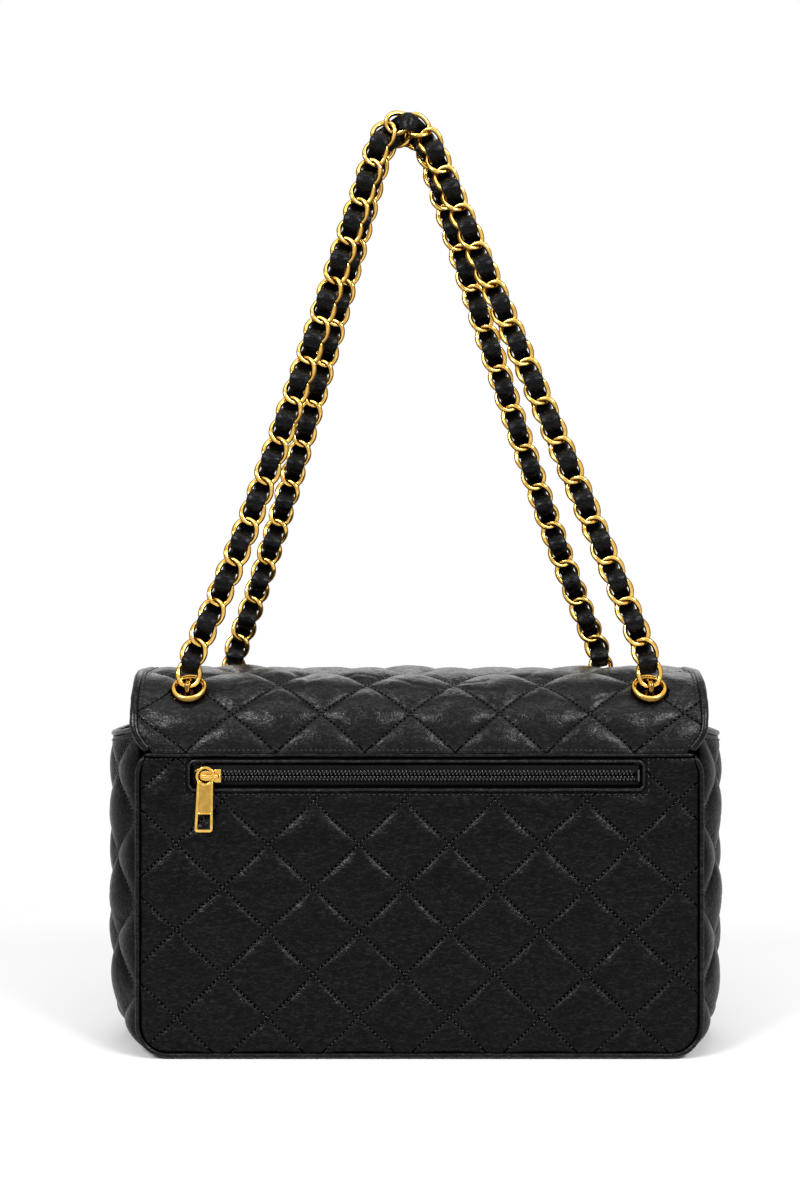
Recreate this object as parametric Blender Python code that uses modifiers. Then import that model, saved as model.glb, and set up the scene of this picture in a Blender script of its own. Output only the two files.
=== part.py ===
"""Quilted leather shoulder bag with a double curb-chain strap woven with leather.

Metres, +Z up. The origin is the middle of the base, where the bag stands.
The zip pocket is on the back, which faces -Y; the turn lock is on the front.
"""

import math

import bmesh
import bpy
import numpy as np
from mathutils import Matrix, Vector

# Fit
GAP = 0.0003
OVERRUN = 0.004
MERGE = 0.00001
ROUND_STEPS = 12
LINE_STEPS = 200
HALVINGS = 40

# Body
HALF_DEPTH = 0.050
PANEL_THICKNESS = 0.003
PIPING_HALF_WIDTH = 0.1413
PIPING_RADIUS = 0.00125
CORNER_RADIUS = 0.0155
SEAM_HEIGHT = 0.152
SEAM_PIPING_RADIUS = 0.001
FRONT_HEIGHT = 0.1485
BINDING_RADIUS = 0.0014
CORNER_STEPS = 3

# Gussets and base
GUSSET_THICKNESS = 0.0025
GUSSET_BULGE = 0.019
GUSSET_SETTLE = 0.014
GUSSET_END_HEIGHT = 0.1484
GUSSET_CREST_HEIGHT = 0.1614
GUSSET_COLUMNS = 6
GUSSET_CORNER_ROWS = 3
GUSSET_SIDE_ROWS = 4
GUSSET_FOLD_SHARE = 0.05
BASE_THICKNESS = 0.0022
BOARD_THICKNESS = 0.002

# Lining and inner pocket
LINING_THICKNESS = 0.0008
LINING_HALF_WIDTH = 0.1385
LINING_TOP = 0.1475
POCKET_HALF_WIDTH = 0.060
POCKET_BOTTOM = 0.030
POCKET_TOP = 0.115
POCKET_CORNER = 0.012
PLY_THICKNESS = 0.0005

# Zip in the back panel
ZIP_MIDDLE_X = -0.0015
ZIP_MIDDLE_Z = 0.14175
ZIP_OPENING_HALF_WIDTH = 0.1118
ZIP_OPENING_HALF_HEIGHT = 0.00525
ZIP_OPENING_CORNER = 0.0025
ZIP_LIP_WIDTH = 0.0024
ZIP_LIP_THICKNESS = 0.0007
ZIP_WALL = 0.0008
TAPE_THICKNESS = 0.0006
TAPE_DEPTH = 0.0014
COIL_GAP = 0.0012
COIL_HEIGHT = 0.0023
COIL_THICKNESS = 0.0017
ZIP_STOP_WIDTH = 0.001
ZIP_POUCH_HALF_WIDTH = 0.108
ZIP_POUCH_BOTTOM = 0.038

# Zip slider and pull
SLIDER_INSET = 0.0015
SLIDER_LENGTH = 0.0128
SLIDER_HEIGHT = 0.0067
SLIDER_WAIST_HEIGHT = 0.0046
SLIDER_PLATE = 0.0011
SLIDER_NECK_LENGTH = 0.0045
SLIDER_NECK_WIDTH = 0.0006
BRIDGE_HALF_WIDTH = 0.00075
BRIDGE_THICKNESS = 0.0011
BRIDGE_CLEARANCE = 0.0018
BRIDGE_START = 0.004
BRIDGE_END = 0.0115
PULL_EYE_OFFSET = 0.0051
PULL_EYE_RADIUS = 0.0048
PULL_EYE_HOLE = 0.0036
PULL_THICKNESS = 0.001
PULL_TOP_HALF_WIDTH = 0.00395
PULL_FOOT_HALF_WIDTH = 0.0045
PULL_FOOT_HEIGHT = 0.1137
PULL_WINDOW_HALF_WIDTH = 0.00275
PULL_WINDOW_BOTTOM = 0.1157
PULL_WINDOW_TOP = 0.123

# Flap
FLAP_HALF_WIDTH = 0.1379
FLAP_THICKNESS = 0.0025
FLAP_ROUND = 0.039
CROWN_FOOT = 0.1535
CROWN_CENTRE_HEIGHT = 0.1545
CROWN_ROUND_STEPS = 6
FLAP_FOOT_HEIGHT = 0.043
FLAP_CORNER_RADIUS = 0.030
FLAP_CORNER_STEPS = 4

# Turn lock on the front
LOCK_HEIGHT = 0.062
LOCK_PLATE_HALF_WIDTH = 0.015
LOCK_PLATE_HALF_HEIGHT = 0.0095
LOCK_PLATE_CORNER = 0.003
LOCK_PLATE_THICKNESS = 0.0012
LOCK_BUSH_RADIUS = 0.0033
LOCK_SHANK_RADIUS = 0.0018
LOCK_WASHER_RADIUS = 0.007
LOCK_WASHER_THICKNESS = 0.0007
LOCK_SLOT_HALF_WIDTH = 0.010
LOCK_SLOT_HALF_HEIGHT = 0.0045
LOCK_SLOT_DROP = 0.0015
LOCK_RIM_WIDTH = 0.0038
LOCK_RIM_THICKNESS = 0.0008
LOCK_SLEEVE_WALL = 0.0007
LOCK_GRIP_HALF_LENGTH = 0.0072
LOCK_GRIP_HALF_THICKNESS = 0.002
LOCK_GRIP_HEIGHT = 0.004

# Eyelets
EYELET_ANGLE = math.radians(49)
REAR_EYELET_X = 0.117
FRONT_EYELET_X = 0.103
EYELET_HOLE_RADIUS = 0.0063
EYELET_BARREL_WALL = 0.0006
EYELET_RIM_WIDTH = 0.0028
EYELET_RIM_HEIGHT = 0.0019
EYELET_BARREL_DEPTH = 0.006
WASHER_RADIUS = 0.0085
WASHER_THICKNESS = 0.0008
WASHER_DEPTH = 0.005

# Chain strap
LINK_HALF_LENGTH = 0.006725
LINK_HALF_WIDTH = 0.00555
LINK_SIDE_HALF_LENGTH = 0.0026
LINK_END_HALF_WIDTH = 0.0018
LINK_END_TWIST = 0.0015
LINK_SIDE_TWIST = 0.001
LINK_PITCH = 0.0112
LINK_WIRE_RADIUS = 0.00137
HOOK_LINK_HALF_WIDTH = 0.0037
RIBBON_HALF_WIDTH = 0.0038
RIBBON_THICKNESS = 0.0013
RIBBON_WAVE = 0.0041
RIBBON_STEP = 0.0036
AXIS_LIFT = 0.002
APEX_X = -0.0075
APEX_RADIUS = 0.013
REAR_APEX_HEIGHT = 0.484
FRONT_APEX_HEIGHT = 0.481
STRAP_HALF_GAP = 0.0053
SPLIT_SHIFT = 0.0001
SPLIT_LINKS = 2
LEG_SETTLE = 0.070
REAR_LEFT_FOOT_SLOPE = 0.47
REAR_RIGHT_FOOT_SLOPE = 0.37
FRONT_LEFT_FOOT_SLOPE = 0.39
FRONT_RIGHT_FOOT_SLOPE = 0.44
INNER_SLACK_SHARE = 1.24

# Places that follow from the sizes above
PANEL_HALF_WIDTH = PIPING_HALF_WIDTH - PIPING_RADIUS - GAP
PANEL_BOTTOM = 2 * PIPING_RADIUS + GAP
PANEL_CORNER = CORNER_RADIUS - PIPING_RADIUS - GAP
PANEL_INNER = HALF_DEPTH - PANEL_THICKNESS
BACK_TOP = SEAM_HEIGHT - SEAM_PIPING_RADIUS - GAP
GUSSET_HALF_DEPTH = HALF_DEPTH - 2 * PIPING_RADIUS - GAP
GUSSET_SIDE = PIPING_HALF_WIDTH - PIPING_RADIUS + GUSSET_THICKNESS
GUSSET_CENTRE_X = GUSSET_SIDE - CORNER_RADIUS
BOARD_BOTTOM = GUSSET_THICKNESS + GAP
BOARD_HALF_LENGTH = GUSSET_CENTRE_X - GAP
BOARD_TOP = BOARD_BOTTOM + BOARD_THICKNESS
POUCH_FRONT = PANEL_INNER - GAP
POUCH_BACK = POUCH_FRONT - PLY_THICKNESS - GAP
BACK_LINING = POUCH_BACK - PLY_THICKNESS - GAP
FRONT_LINING = PANEL_INNER - GAP - LOCK_WASHER_THICKNESS - GAP
POCKET_FACE = FRONT_LINING - LINING_THICKNESS - GAP
LINING_HALF_DEPTH = POCKET_FACE - PLY_THICKNESS - GAP
LINING_OFFSET = GUSSET_THICKNESS + 3 * GAP
TAPE_FACE = HALF_DEPTH - TAPE_DEPTH
COIL_FACE = TAPE_FACE + GAP + COIL_THICKNESS
SLIDER_LEFT = ZIP_MIDDLE_X - ZIP_OPENING_HALF_WIDTH + SLIDER_INSET
BRIDGE_LEFT = SLIDER_LEFT + BRIDGE_START
BRIDGE_RIGHT = SLIDER_LEFT + BRIDGE_END
PULL_EYE_X = SLIDER_LEFT + PULL_EYE_OFFSET
SLIDER_FACE = COIL_FACE + GAP + SLIDER_PLATE
SLIDER_BACK = TAPE_FACE - TAPE_THICKNESS - GAP
BRIDGE_BACK = SLIDER_FACE + BRIDGE_CLEARANCE
BRIDGE_FACE = BRIDGE_BACK + BRIDGE_THICKNESS
PULL_FACE = SLIDER_FACE + (BRIDGE_CLEARANCE + PULL_THICKNESS) / 2
FRAME_WALL_DEPTH = PANEL_THICKNESS + 2 * GAP
LOCK_PLATE_FACE = HALF_DEPTH + GAP + LOCK_PLATE_THICKNESS
FLAP_LINING_INNER = LOCK_PLATE_FACE + GAP
FLAP_INNER = FLAP_LINING_INNER + LINING_THICKNESS + GAP
FLAP_FACE = FLAP_INNER + FLAP_THICKNESS
LOCK_RIM_FACE = FLAP_FACE + GAP + LOCK_RIM_THICKNESS
GRIP_FACE = LOCK_RIM_FACE + GAP
BACK_ROUND_Y = FLAP_ROUND - HALF_DEPTH
FRONT_ROUND_Y = FLAP_FACE - FLAP_ROUND
FOLD_HEIGHT = CROWN_CENTRE_HEIGHT
BINDING_X = FLAP_HALF_WIDTH + GAP + BINDING_RADIUS
RING_RADIUS = EYELET_HOLE_RADIUS + EYELET_RIM_WIDTH
PUNCH_RADIUS = EYELET_HOLE_RADIUS + EYELET_BARREL_WALL + GAP

BACK = -1
FRONT = 1
LEFT = -1
RIGHT = 1

for item in list(bpy.data.objects):
    bpy.data.objects.remove(item)
bag = bpy.data.collections.new("shoulder_bag")
tools = bpy.data.collections.new("cutters")
bpy.context.scene.collection.children.link(bag)
bpy.context.scene.collection.children.link(tools)


def finish(name, colour, roughness, metallic=0.0):
    """A plain surface of one colour."""
    made = bpy.data.materials.new(name)
    made.use_nodes = True
    shader = made.node_tree.nodes["Principled BSDF"]
    shader.inputs["Base Color"].default_value = (*colour, 1.0)
    shader.inputs["Roughness"].default_value = roughness
    shader.inputs["Metallic"].default_value = metallic
    return made


LEATHER = dict(colour=(0.012, 0.012, 0.013), roughness=0.45)
GOLD = dict(colour=(0.76, 0.47, 0.10), roughness=0.18, metallic=1.0)
NYLON = dict(colour=(0.006, 0.006, 0.006), roughness=0.7)
LINING = dict(colour=(0.020, 0.018, 0.018), roughness=0.8)
BOARD = dict(colour=(0.25, 0.18, 0.11), roughness=0.9)


def place(name, data, look, carrier=None):
    """An object in the bag's collection, hung on the empty of the piece that carries it."""
    made = bpy.data.objects.new(name, data)
    bag.objects.link(made)
    data.materials.append(finish(name, **look))
    if carrier:
        made.parent = carrier
        made.location = -carrier.location
    return made


def axis_empty(name, point):
    """An empty on a joint's axis, at a point of the bag's own frame."""
    made = bpy.data.objects.new(name, None)
    bag.objects.link(made)
    made.location = point
    return made


def plate_mesh(name, outline, thickness, holes=()):
    """A flat outline with holes, thickened about its own plane, as a closed mesh."""
    curve = bpy.data.curves.new(name, "CURVE")
    curve.dimensions = "2D"
    curve.fill_mode = "BOTH"
    curve.extrude = thickness / 2
    for points in (outline, *holes):
        spline = curve.splines.new("POLY")
        spline.points.add(len(points) - 1)
        for point, (x, y) in zip(spline.points, points):
            point.co = (x, y, 0, 1)
        spline.use_cyclic_u = True
    sketch = bpy.data.objects.new(name, curve)
    tools.objects.link(sketch)
    bpy.context.view_layer.update()
    evaluated = sketch.evaluated_get(bpy.context.evaluated_depsgraph_get())
    mesh = bpy.data.meshes.new_from_object(evaluated)
    bpy.data.objects.remove(sketch)
    welded = bmesh.new()
    welded.from_mesh(mesh)
    bmesh.ops.remove_doubles(welded, verts=welded.verts, dist=MERGE)
    bmesh.ops.recalc_face_normals(welded, faces=welded.faces)
    welded.to_mesh(mesh)
    welded.free()
    mesh.materials.clear()
    return mesh


def upright(mesh, middle_y):
    """Turn a flat plate drawn in X and Z up into its own plane at middle_y."""
    mesh.transform(Matrix.Translation((0, middle_y, 0)) @ Matrix.Rotation(math.pi / 2, 4, "X"))
    return mesh


def upright_plate(name, outline, low_y, high_y, look, holes=(), carrier=None):
    """A plate drawn in X and Z that fills the depth from low_y to high_y."""
    mesh = plate_mesh(name, outline, high_y - low_y, holes)
    return place(name, upright(mesh, (low_y + high_y) / 2), look, carrier)


def box_mesh(name, low, high):
    """A box between two corners."""
    body = bmesh.new()
    bmesh.ops.create_cube(body, size=1)
    low, high = Vector(low), Vector(high)
    size = high - low
    move = Matrix.Translation((low + high) / 2) @ Matrix.Diagonal((*size, 1))
    bmesh.ops.transform(body, matrix=move, verts=body.verts)
    mesh = bpy.data.meshes.new(name)
    body.to_mesh(mesh)
    body.free()
    return mesh


def rod_mesh(name, radius, length, matrix):
    """A round rod centred on its own middle, along its own Z, then moved by matrix."""
    body = bmesh.new()
    ends = dict(radius1=radius, radius2=radius, depth=length)
    bmesh.ops.create_cone(body, cap_ends=True, segments=ROUND_STEPS, **ends)
    bmesh.ops.transform(body, matrix=matrix, verts=body.verts)
    mesh = bpy.data.meshes.new(name)
    body.to_mesh(mesh)
    body.free()
    return mesh


def tool(name, mesh):
    """A hidden shape that another piece is cut by or joined with."""
    made = bpy.data.objects.new(name, mesh)
    tools.objects.link(made)
    made.hide_render = True
    made.display_type = "WIRE"
    return made


def combine(target, other, operation):
    """Cut another shape out of a piece, or join it on."""
    step = target.modifiers.new(other.name, "BOOLEAN")
    step.operation = operation
    step.object = other
    step.solver = "EXACT"


def arc(centre, radius, start, end, steps):
    """Points along a round stretch, both ends included."""
    turns = [start + (end - start) * n / steps for n in range(steps + 1)]
    return [(centre[0] + radius * math.cos(t), centre[1] + radius * math.sin(t)) for t in turns]


def circle(centre, radius):
    """Points round a full circle."""
    return arc(centre, radius, 0, 2 * math.pi, ROUND_STEPS)[:-1]


def rounded(half_width, low, high, corner, steps=CORNER_STEPS, middle=0):
    """A rectangle with four round corners."""
    left, right = middle - half_width + corner, middle + half_width - corner
    quarter = math.pi / 2
    return (
        arc((right, low + corner), corner, -quarter, 0, steps)
        + arc((right, high - corner), corner, 0, quarter, steps)
        + arc((left, high - corner), corner, quarter, 2 * quarter, steps)
        + arc((left, low + corner), corner, 2 * quarter, 3 * quarter, steps)
    )


def round_footed(half_width, low, high, corner, steps=CORNER_STEPS):
    """A panel with square top corners and round bottom corners."""
    quarter = math.pi / 2
    return [
        (half_width, high),
        (-half_width, high),
        *arc((corner - half_width, low + corner), corner, 2 * quarter, 3 * quarter, steps),
        *arc((half_width - corner, low + corner), corner, -quarter, 0, steps),
    ]


def tube(name, points, radius, look, carrier=None, resolution=1, cyclic=False):
    """A round wire, piping or binding along points."""
    curve = bpy.data.curves.new(name, "CURVE")
    curve.dimensions = "3D"
    curve.twist_mode = "Z_UP"
    curve.bevel_depth = radius
    curve.bevel_resolution = resolution
    curve.use_fill_caps = True
    spline = curve.splines.new("POLY")
    spline.points.add(len(points) - 1)
    for point, place_at in zip(spline.points, points):
        point.co = (*place_at, 1)
    spline.use_cyclic_u = cyclic
    return place(name, curve, look, carrier)


def skin(name, surface, across, along, thickness, look, carrier=None, outward=1):
    """An open surface, a grid worked out by a formula, thickened to one side."""
    sheet = bmesh.new()
    bmesh.ops.create_grid(sheet, x_segments=len(across) - 1, y_segments=len(along) - 1, size=1)
    for vertex in sheet.verts:
        column = round((vertex.co.x + 1) / 2 * (len(across) - 1))
        row = round((vertex.co.y + 1) / 2 * (len(along) - 1))
        vertex.co = surface(across[column], along[row])
    if outward < 0:
        bmesh.ops.reverse_faces(sheet, faces=sheet.faces)
    mesh = bpy.data.meshes.new(name)
    sheet.to_mesh(mesh)
    sheet.free()
    made = place(name, mesh, look, carrier)
    wall = made.modifiers.new("wall", "SOLIDIFY")
    wall.thickness = thickness
    wall.offset = -1
    wall.use_even_offset = True
    return made


def spread(low, high, steps):
    """Evenly spaced values, both ends included."""
    return [low + (high - low) * n / steps for n in range(steps + 1)]


def crown_point(distance, depth):
    """A point of the crown's cross-section, depth inside its outer face, distance along it."""
    foot = CROWN_CENTRE_HEIGHT - CROWN_FOOT
    quarter = FLAP_ROUND * math.pi / 2
    flat = FRONT_ROUND_Y - BACK_ROUND_Y
    radius = FLAP_ROUND - depth
    if distance < foot:
        return Vector((0, depth - HALF_DEPTH, CROWN_FOOT + distance))
    distance -= foot
    if distance <= quarter:
        turn = distance / FLAP_ROUND
        across = BACK_ROUND_Y - radius * math.cos(turn)
        return Vector((0, across, CROWN_CENTRE_HEIGHT + radius * math.sin(turn)))
    distance -= quarter
    if distance <= flat:
        return Vector((0, BACK_ROUND_Y + distance, CROWN_CENTRE_HEIGHT + radius))
    turn = (distance - flat) / FLAP_ROUND
    across = FRONT_ROUND_Y + radius * math.sin(turn)
    return Vector((0, across, CROWN_CENTRE_HEIGHT + radius * math.cos(turn)))


def crown_stations():
    """Distances along the crown's cross-section at which it is drawn."""
    foot = CROWN_CENTRE_HEIGHT - CROWN_FOOT
    quarter = FLAP_ROUND * math.pi / 2
    flat = FRONT_ROUND_Y - BACK_ROUND_Y
    back = spread(foot, foot + quarter, CROWN_ROUND_STEPS)
    front = spread(foot + quarter + flat, foot + 2 * quarter + flat - GAP, CROWN_ROUND_STEPS)
    return [0, *back, *front]


def gusset_outline(travel, depth_share):
    """Height and reach of a gusset point: travel up its outline from the base seam."""
    fullness = 1 - depth_share**2
    bulge = GUSSET_BULGE * fullness * (1 - math.exp(-travel / GUSSET_SETTLE))
    corner = CORNER_RADIUS * math.pi / 2
    if travel < corner:
        turn = travel / CORNER_RADIUS
        x = GUSSET_CENTRE_X + (CORNER_RADIUS + bulge) * math.sin(turn)
        return x, CORNER_RADIUS * (1 - math.cos(turn))
    return GUSSET_SIDE + bulge, CORNER_RADIUS + travel - corner


def gusset_crest(depth_share):
    """Height of the gusset's top edge: an arch, highest at mid depth."""
    return GUSSET_END_HEIGHT + (GUSSET_CREST_HEIGHT - GUSSET_END_HEIGHT) * (1 - depth_share**2)


def gusset_face(side, drop):
    """The gusset's outer face: first value across its depth, second from base seam to top."""
    corner = CORNER_RADIUS * math.pi / 2

    def point(depth_share, rise):
        travel = GAP + (corner - GAP) * min(rise, 1)
        if rise > 1:
            height = gusset_crest(depth_share) - drop
            travel = corner + (height - CORNER_RADIUS) * (rise - 1)
        x, z = gusset_outline(travel, depth_share)
        return Vector((side * x, depth_share * GUSSET_HALF_DEPTH, z))

    return point


def inside(face, depth, side):
    """A face moved inwards by depth along its own normals."""

    def point(depth_share, rise):
        reach = GUSSET_FOLD_SHARE / 2
        across = face(depth_share + reach, rise) - face(depth_share - reach, rise)
        up = face(depth_share, rise + reach) - face(depth_share, max(rise - reach, 0))
        normal = side * across.cross(up).normalized()
        return face(depth_share, rise) - depth * normal

    return point


def gusset_piece(name, face, side, half_depth, thickness, look):
    """A gusset wall or its lining, drawn at the same stations so that they nest."""
    reach = half_depth / GUSSET_HALF_DEPTH
    across = [max(-reach, min(reach, share)) for share in spread(-1, 1, GUSSET_COLUMNS)]
    corner = spread(0, 1, GUSSET_CORNER_ROWS)[1:]
    along = [0, GUSSET_FOLD_SHARE, *corner, *spread(1, 2, GUSSET_SIDE_ROWS)[1:]]
    return skin(name, face, across, along, thickness, look, outward=side)


def build_body():
    """Back, front, base and gussets, with the piping sewn into their seams."""
    frame_wall = ZIP_WALL + GAP
    cut = rounded(
        ZIP_OPENING_HALF_WIDTH + frame_wall,
        ZIP_MIDDLE_Z - ZIP_OPENING_HALF_HEIGHT - frame_wall,
        ZIP_MIDDLE_Z + ZIP_OPENING_HALF_HEIGHT + frame_wall,
        ZIP_OPENING_CORNER + frame_wall,
        middle=ZIP_MIDDLE_X,
    )
    back = round_footed(PANEL_HALF_WIDTH, PANEL_BOTTOM, BACK_TOP, PANEL_CORNER)
    upright_plate("back_panel", back, -HALF_DEPTH, -PANEL_INNER, LEATHER, holes=[cut])
    front = round_footed(PANEL_HALF_WIDTH, PANEL_BOTTOM, FRONT_HEIGHT, PANEL_CORNER)
    bore = circle((0, LOCK_HEIGHT), LOCK_BUSH_RADIUS + GAP)
    upright_plate("front_panel", front, PANEL_INNER, HALF_DEPTH, LEATHER, holes=[bore])
    for name, facing in (("back_piping", BACK), ("front_piping", FRONT)):
        line = round_footed(PIPING_HALF_WIDTH, PIPING_RADIUS, FRONT_HEIGHT, CORNER_RADIUS, 4)
        depth = facing * (HALF_DEPTH - PIPING_RADIUS)
        tube(name, [(x, depth, z) for x, z in line[1:] + line[:1]], PIPING_RADIUS, LEATHER)
    ends = [(side * FLAP_HALF_WIDTH, -HALF_DEPTH, SEAM_HEIGHT) for side in (LEFT, RIGHT)]
    tube("seam_piping", ends, SEAM_PIPING_RADIUS, LEATHER)
    rim_z = FRONT_HEIGHT + GAP + BINDING_RADIUS
    rim_y = HALF_DEPTH - PANEL_THICKNESS / 2
    ends = [(side * PANEL_HALF_WIDTH, rim_y, rim_z) for side in (LEFT, RIGHT)]
    tube("front_rim_binding", ends, BINDING_RADIUS, LEATHER)
    base = rounded(GUSSET_CENTRE_X, -GUSSET_HALF_DEPTH, GUSSET_HALF_DEPTH, GAP, 1)
    floor = plate_mesh("base_panel", base, BASE_THICKNESS)
    floor.transform(Matrix.Translation((0, 0, BASE_THICKNESS / 2)))
    place("base_panel", floor, LEATHER)
    half_depth = LINING_HALF_DEPTH
    low = (-BOARD_HALF_LENGTH, -half_depth, BOARD_BOTTOM)
    high = (BOARD_HALF_LENGTH, half_depth, BOARD_TOP)
    place("base_board", box_mesh("base_board", low, high), BOARD)
    for name, side in (("left", LEFT), ("right", RIGHT)):
        face = gusset_face(side, 0)
        label = "gusset_" + name
        gusset_piece(label, face, side, GUSSET_HALF_DEPTH, GUSSET_THICKNESS, LEATHER)
        rim = []
        for depth_share in spread(-1, 1, GUSSET_COLUMNS):
            height = gusset_crest(depth_share)
            travel = CORNER_RADIUS * math.pi / 2 + height - CORNER_RADIUS
            x, z = gusset_outline(travel, depth_share)
            y = depth_share * (GUSSET_HALF_DEPTH - BINDING_RADIUS)
            rim.append((side * (x - GUSSET_THICKNESS / 2), y, z + GAP + BINDING_RADIUS))
        tube("rim_binding_" + name, rim, BINDING_RADIUS, LEATHER)


def build_lining():
    """Thin lining on every inner wall, with a slip pocket on the front one."""
    wall = round_footed(LINING_HALF_WIDTH, BOARD_TOP + GAP, LINING_TOP, PANEL_CORNER)
    upright_plate("lining_back", wall, -BACK_LINING, LINING_THICKNESS - BACK_LINING, LINING)
    upright_plate("lining_front", wall, FRONT_LINING - LINING_THICKNESS, FRONT_LINING, LINING)
    pocket = rounded(POCKET_HALF_WIDTH, POCKET_BOTTOM, POCKET_TOP, POCKET_CORNER)
    upright_plate("inner_slip_pocket", pocket, POCKET_FACE - PLY_THICKNESS, POCKET_FACE, LINING)
    low = (-BOARD_HALF_LENGTH, -LINING_HALF_DEPTH, BOARD_TOP + GAP)
    high = (BOARD_HALF_LENGTH, LINING_HALF_DEPTH, BOARD_TOP + GAP + LINING_THICKNESS)
    place("lining_base", box_mesh("lining_base", low, high), LINING)
    drop = GUSSET_END_HEIGHT - LINING_TOP
    for name, side in (("lining_left", LEFT), ("lining_right", RIGHT)):
        face = inside(gusset_face(side, drop), LINING_OFFSET, side)
        gusset_piece(name, face, side, LINING_HALF_DEPTH, LINING_THICKNESS, LINING)


def build_zip():
    """Welt frame, tapes, coil rows, end stops and the flat pouch behind them."""
    low_z = ZIP_MIDDLE_Z - ZIP_OPENING_HALF_HEIGHT
    high_z = ZIP_MIDDLE_Z + ZIP_OPENING_HALF_HEIGHT

    def ring(grow):
        return rounded(
            ZIP_OPENING_HALF_WIDTH + grow,
            low_z - grow,
            high_z + grow,
            ZIP_OPENING_CORNER + grow,
            middle=ZIP_MIDDLE_X,
        )

    lip_face = -HALF_DEPTH - GAP - ZIP_LIP_THICKNESS
    lip_back = -HALF_DEPTH - GAP
    opening = ring(0)
    frame = upright_plate(
        "zip_frame", ring(ZIP_LIP_WIDTH), lip_face, lip_back, LEATHER, holes=[opening]
    )
    wall = plate_mesh("frame_wall", ring(ZIP_WALL), FRAME_WALL_DEPTH, [opening])
    upright(wall, lip_back - GAP + FRAME_WALL_DEPTH / 2)
    combine(frame, tool("frame_wall", wall), "UNION")
    row_end = ZIP_OPENING_HALF_WIDTH - GAP
    left, right = ZIP_MIDDLE_X - row_end, ZIP_MIDDLE_X + row_end
    tape_edge = ZIP_OPENING_HALF_HEIGHT - GAP
    for name, side in (("lower", -1), ("upper", 1)):
        strip = round_footed(row_end, -tape_edge, -COIL_GAP / 2, ZIP_OPENING_CORNER, 2)
        shape = [(ZIP_MIDDLE_X + x, ZIP_MIDDLE_Z - side * z) for x, z in strip]
        back = TAPE_THICKNESS - TAPE_FACE
        upright_plate("zip_tape_" + name, shape, -TAPE_FACE, back, NYLON)
        near = ZIP_MIDDLE_Z + side * COIL_GAP / 2
        far = near + side * COIL_HEIGHT
        low = (left + ZIP_STOP_WIDTH + GAP, -COIL_FACE, min(near, far))
        high = (right - ZIP_STOP_WIDTH - GAP, -TAPE_FACE - GAP, max(near, far))
        place("zip_coil_" + name, box_mesh("coil", low, high), NYLON)
    stop_height = COIL_GAP / 2 + COIL_HEIGHT
    for name, low_x in (("left", left), ("right", right - ZIP_STOP_WIDTH)):
        low = (low_x, -COIL_FACE, ZIP_MIDDLE_Z - stop_height)
        high = (low_x + ZIP_STOP_WIDTH, -TAPE_FACE - GAP, ZIP_MIDDLE_Z + stop_height)
        place("zip_stop_" + name, box_mesh("stop", low, high), GOLD)
    pouch_top = low_z - ZIP_LIP_WIDTH
    pouch = rounded(ZIP_POUCH_HALF_WIDTH, ZIP_POUCH_BOTTOM, pouch_top, POCKET_CORNER)
    upright_plate("zip_pouch_front", pouch, -POUCH_FRONT, PLY_THICKNESS - POUCH_FRONT, LINING)
    pouch = rounded(ZIP_POUCH_HALF_WIDTH, ZIP_POUCH_BOTTOM, LINING_TOP, POCKET_CORNER)
    upright_plate("zip_pouch_back", pouch, -POUCH_BACK, PLY_THICKNESS - POUCH_BACK, LINING)


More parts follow.
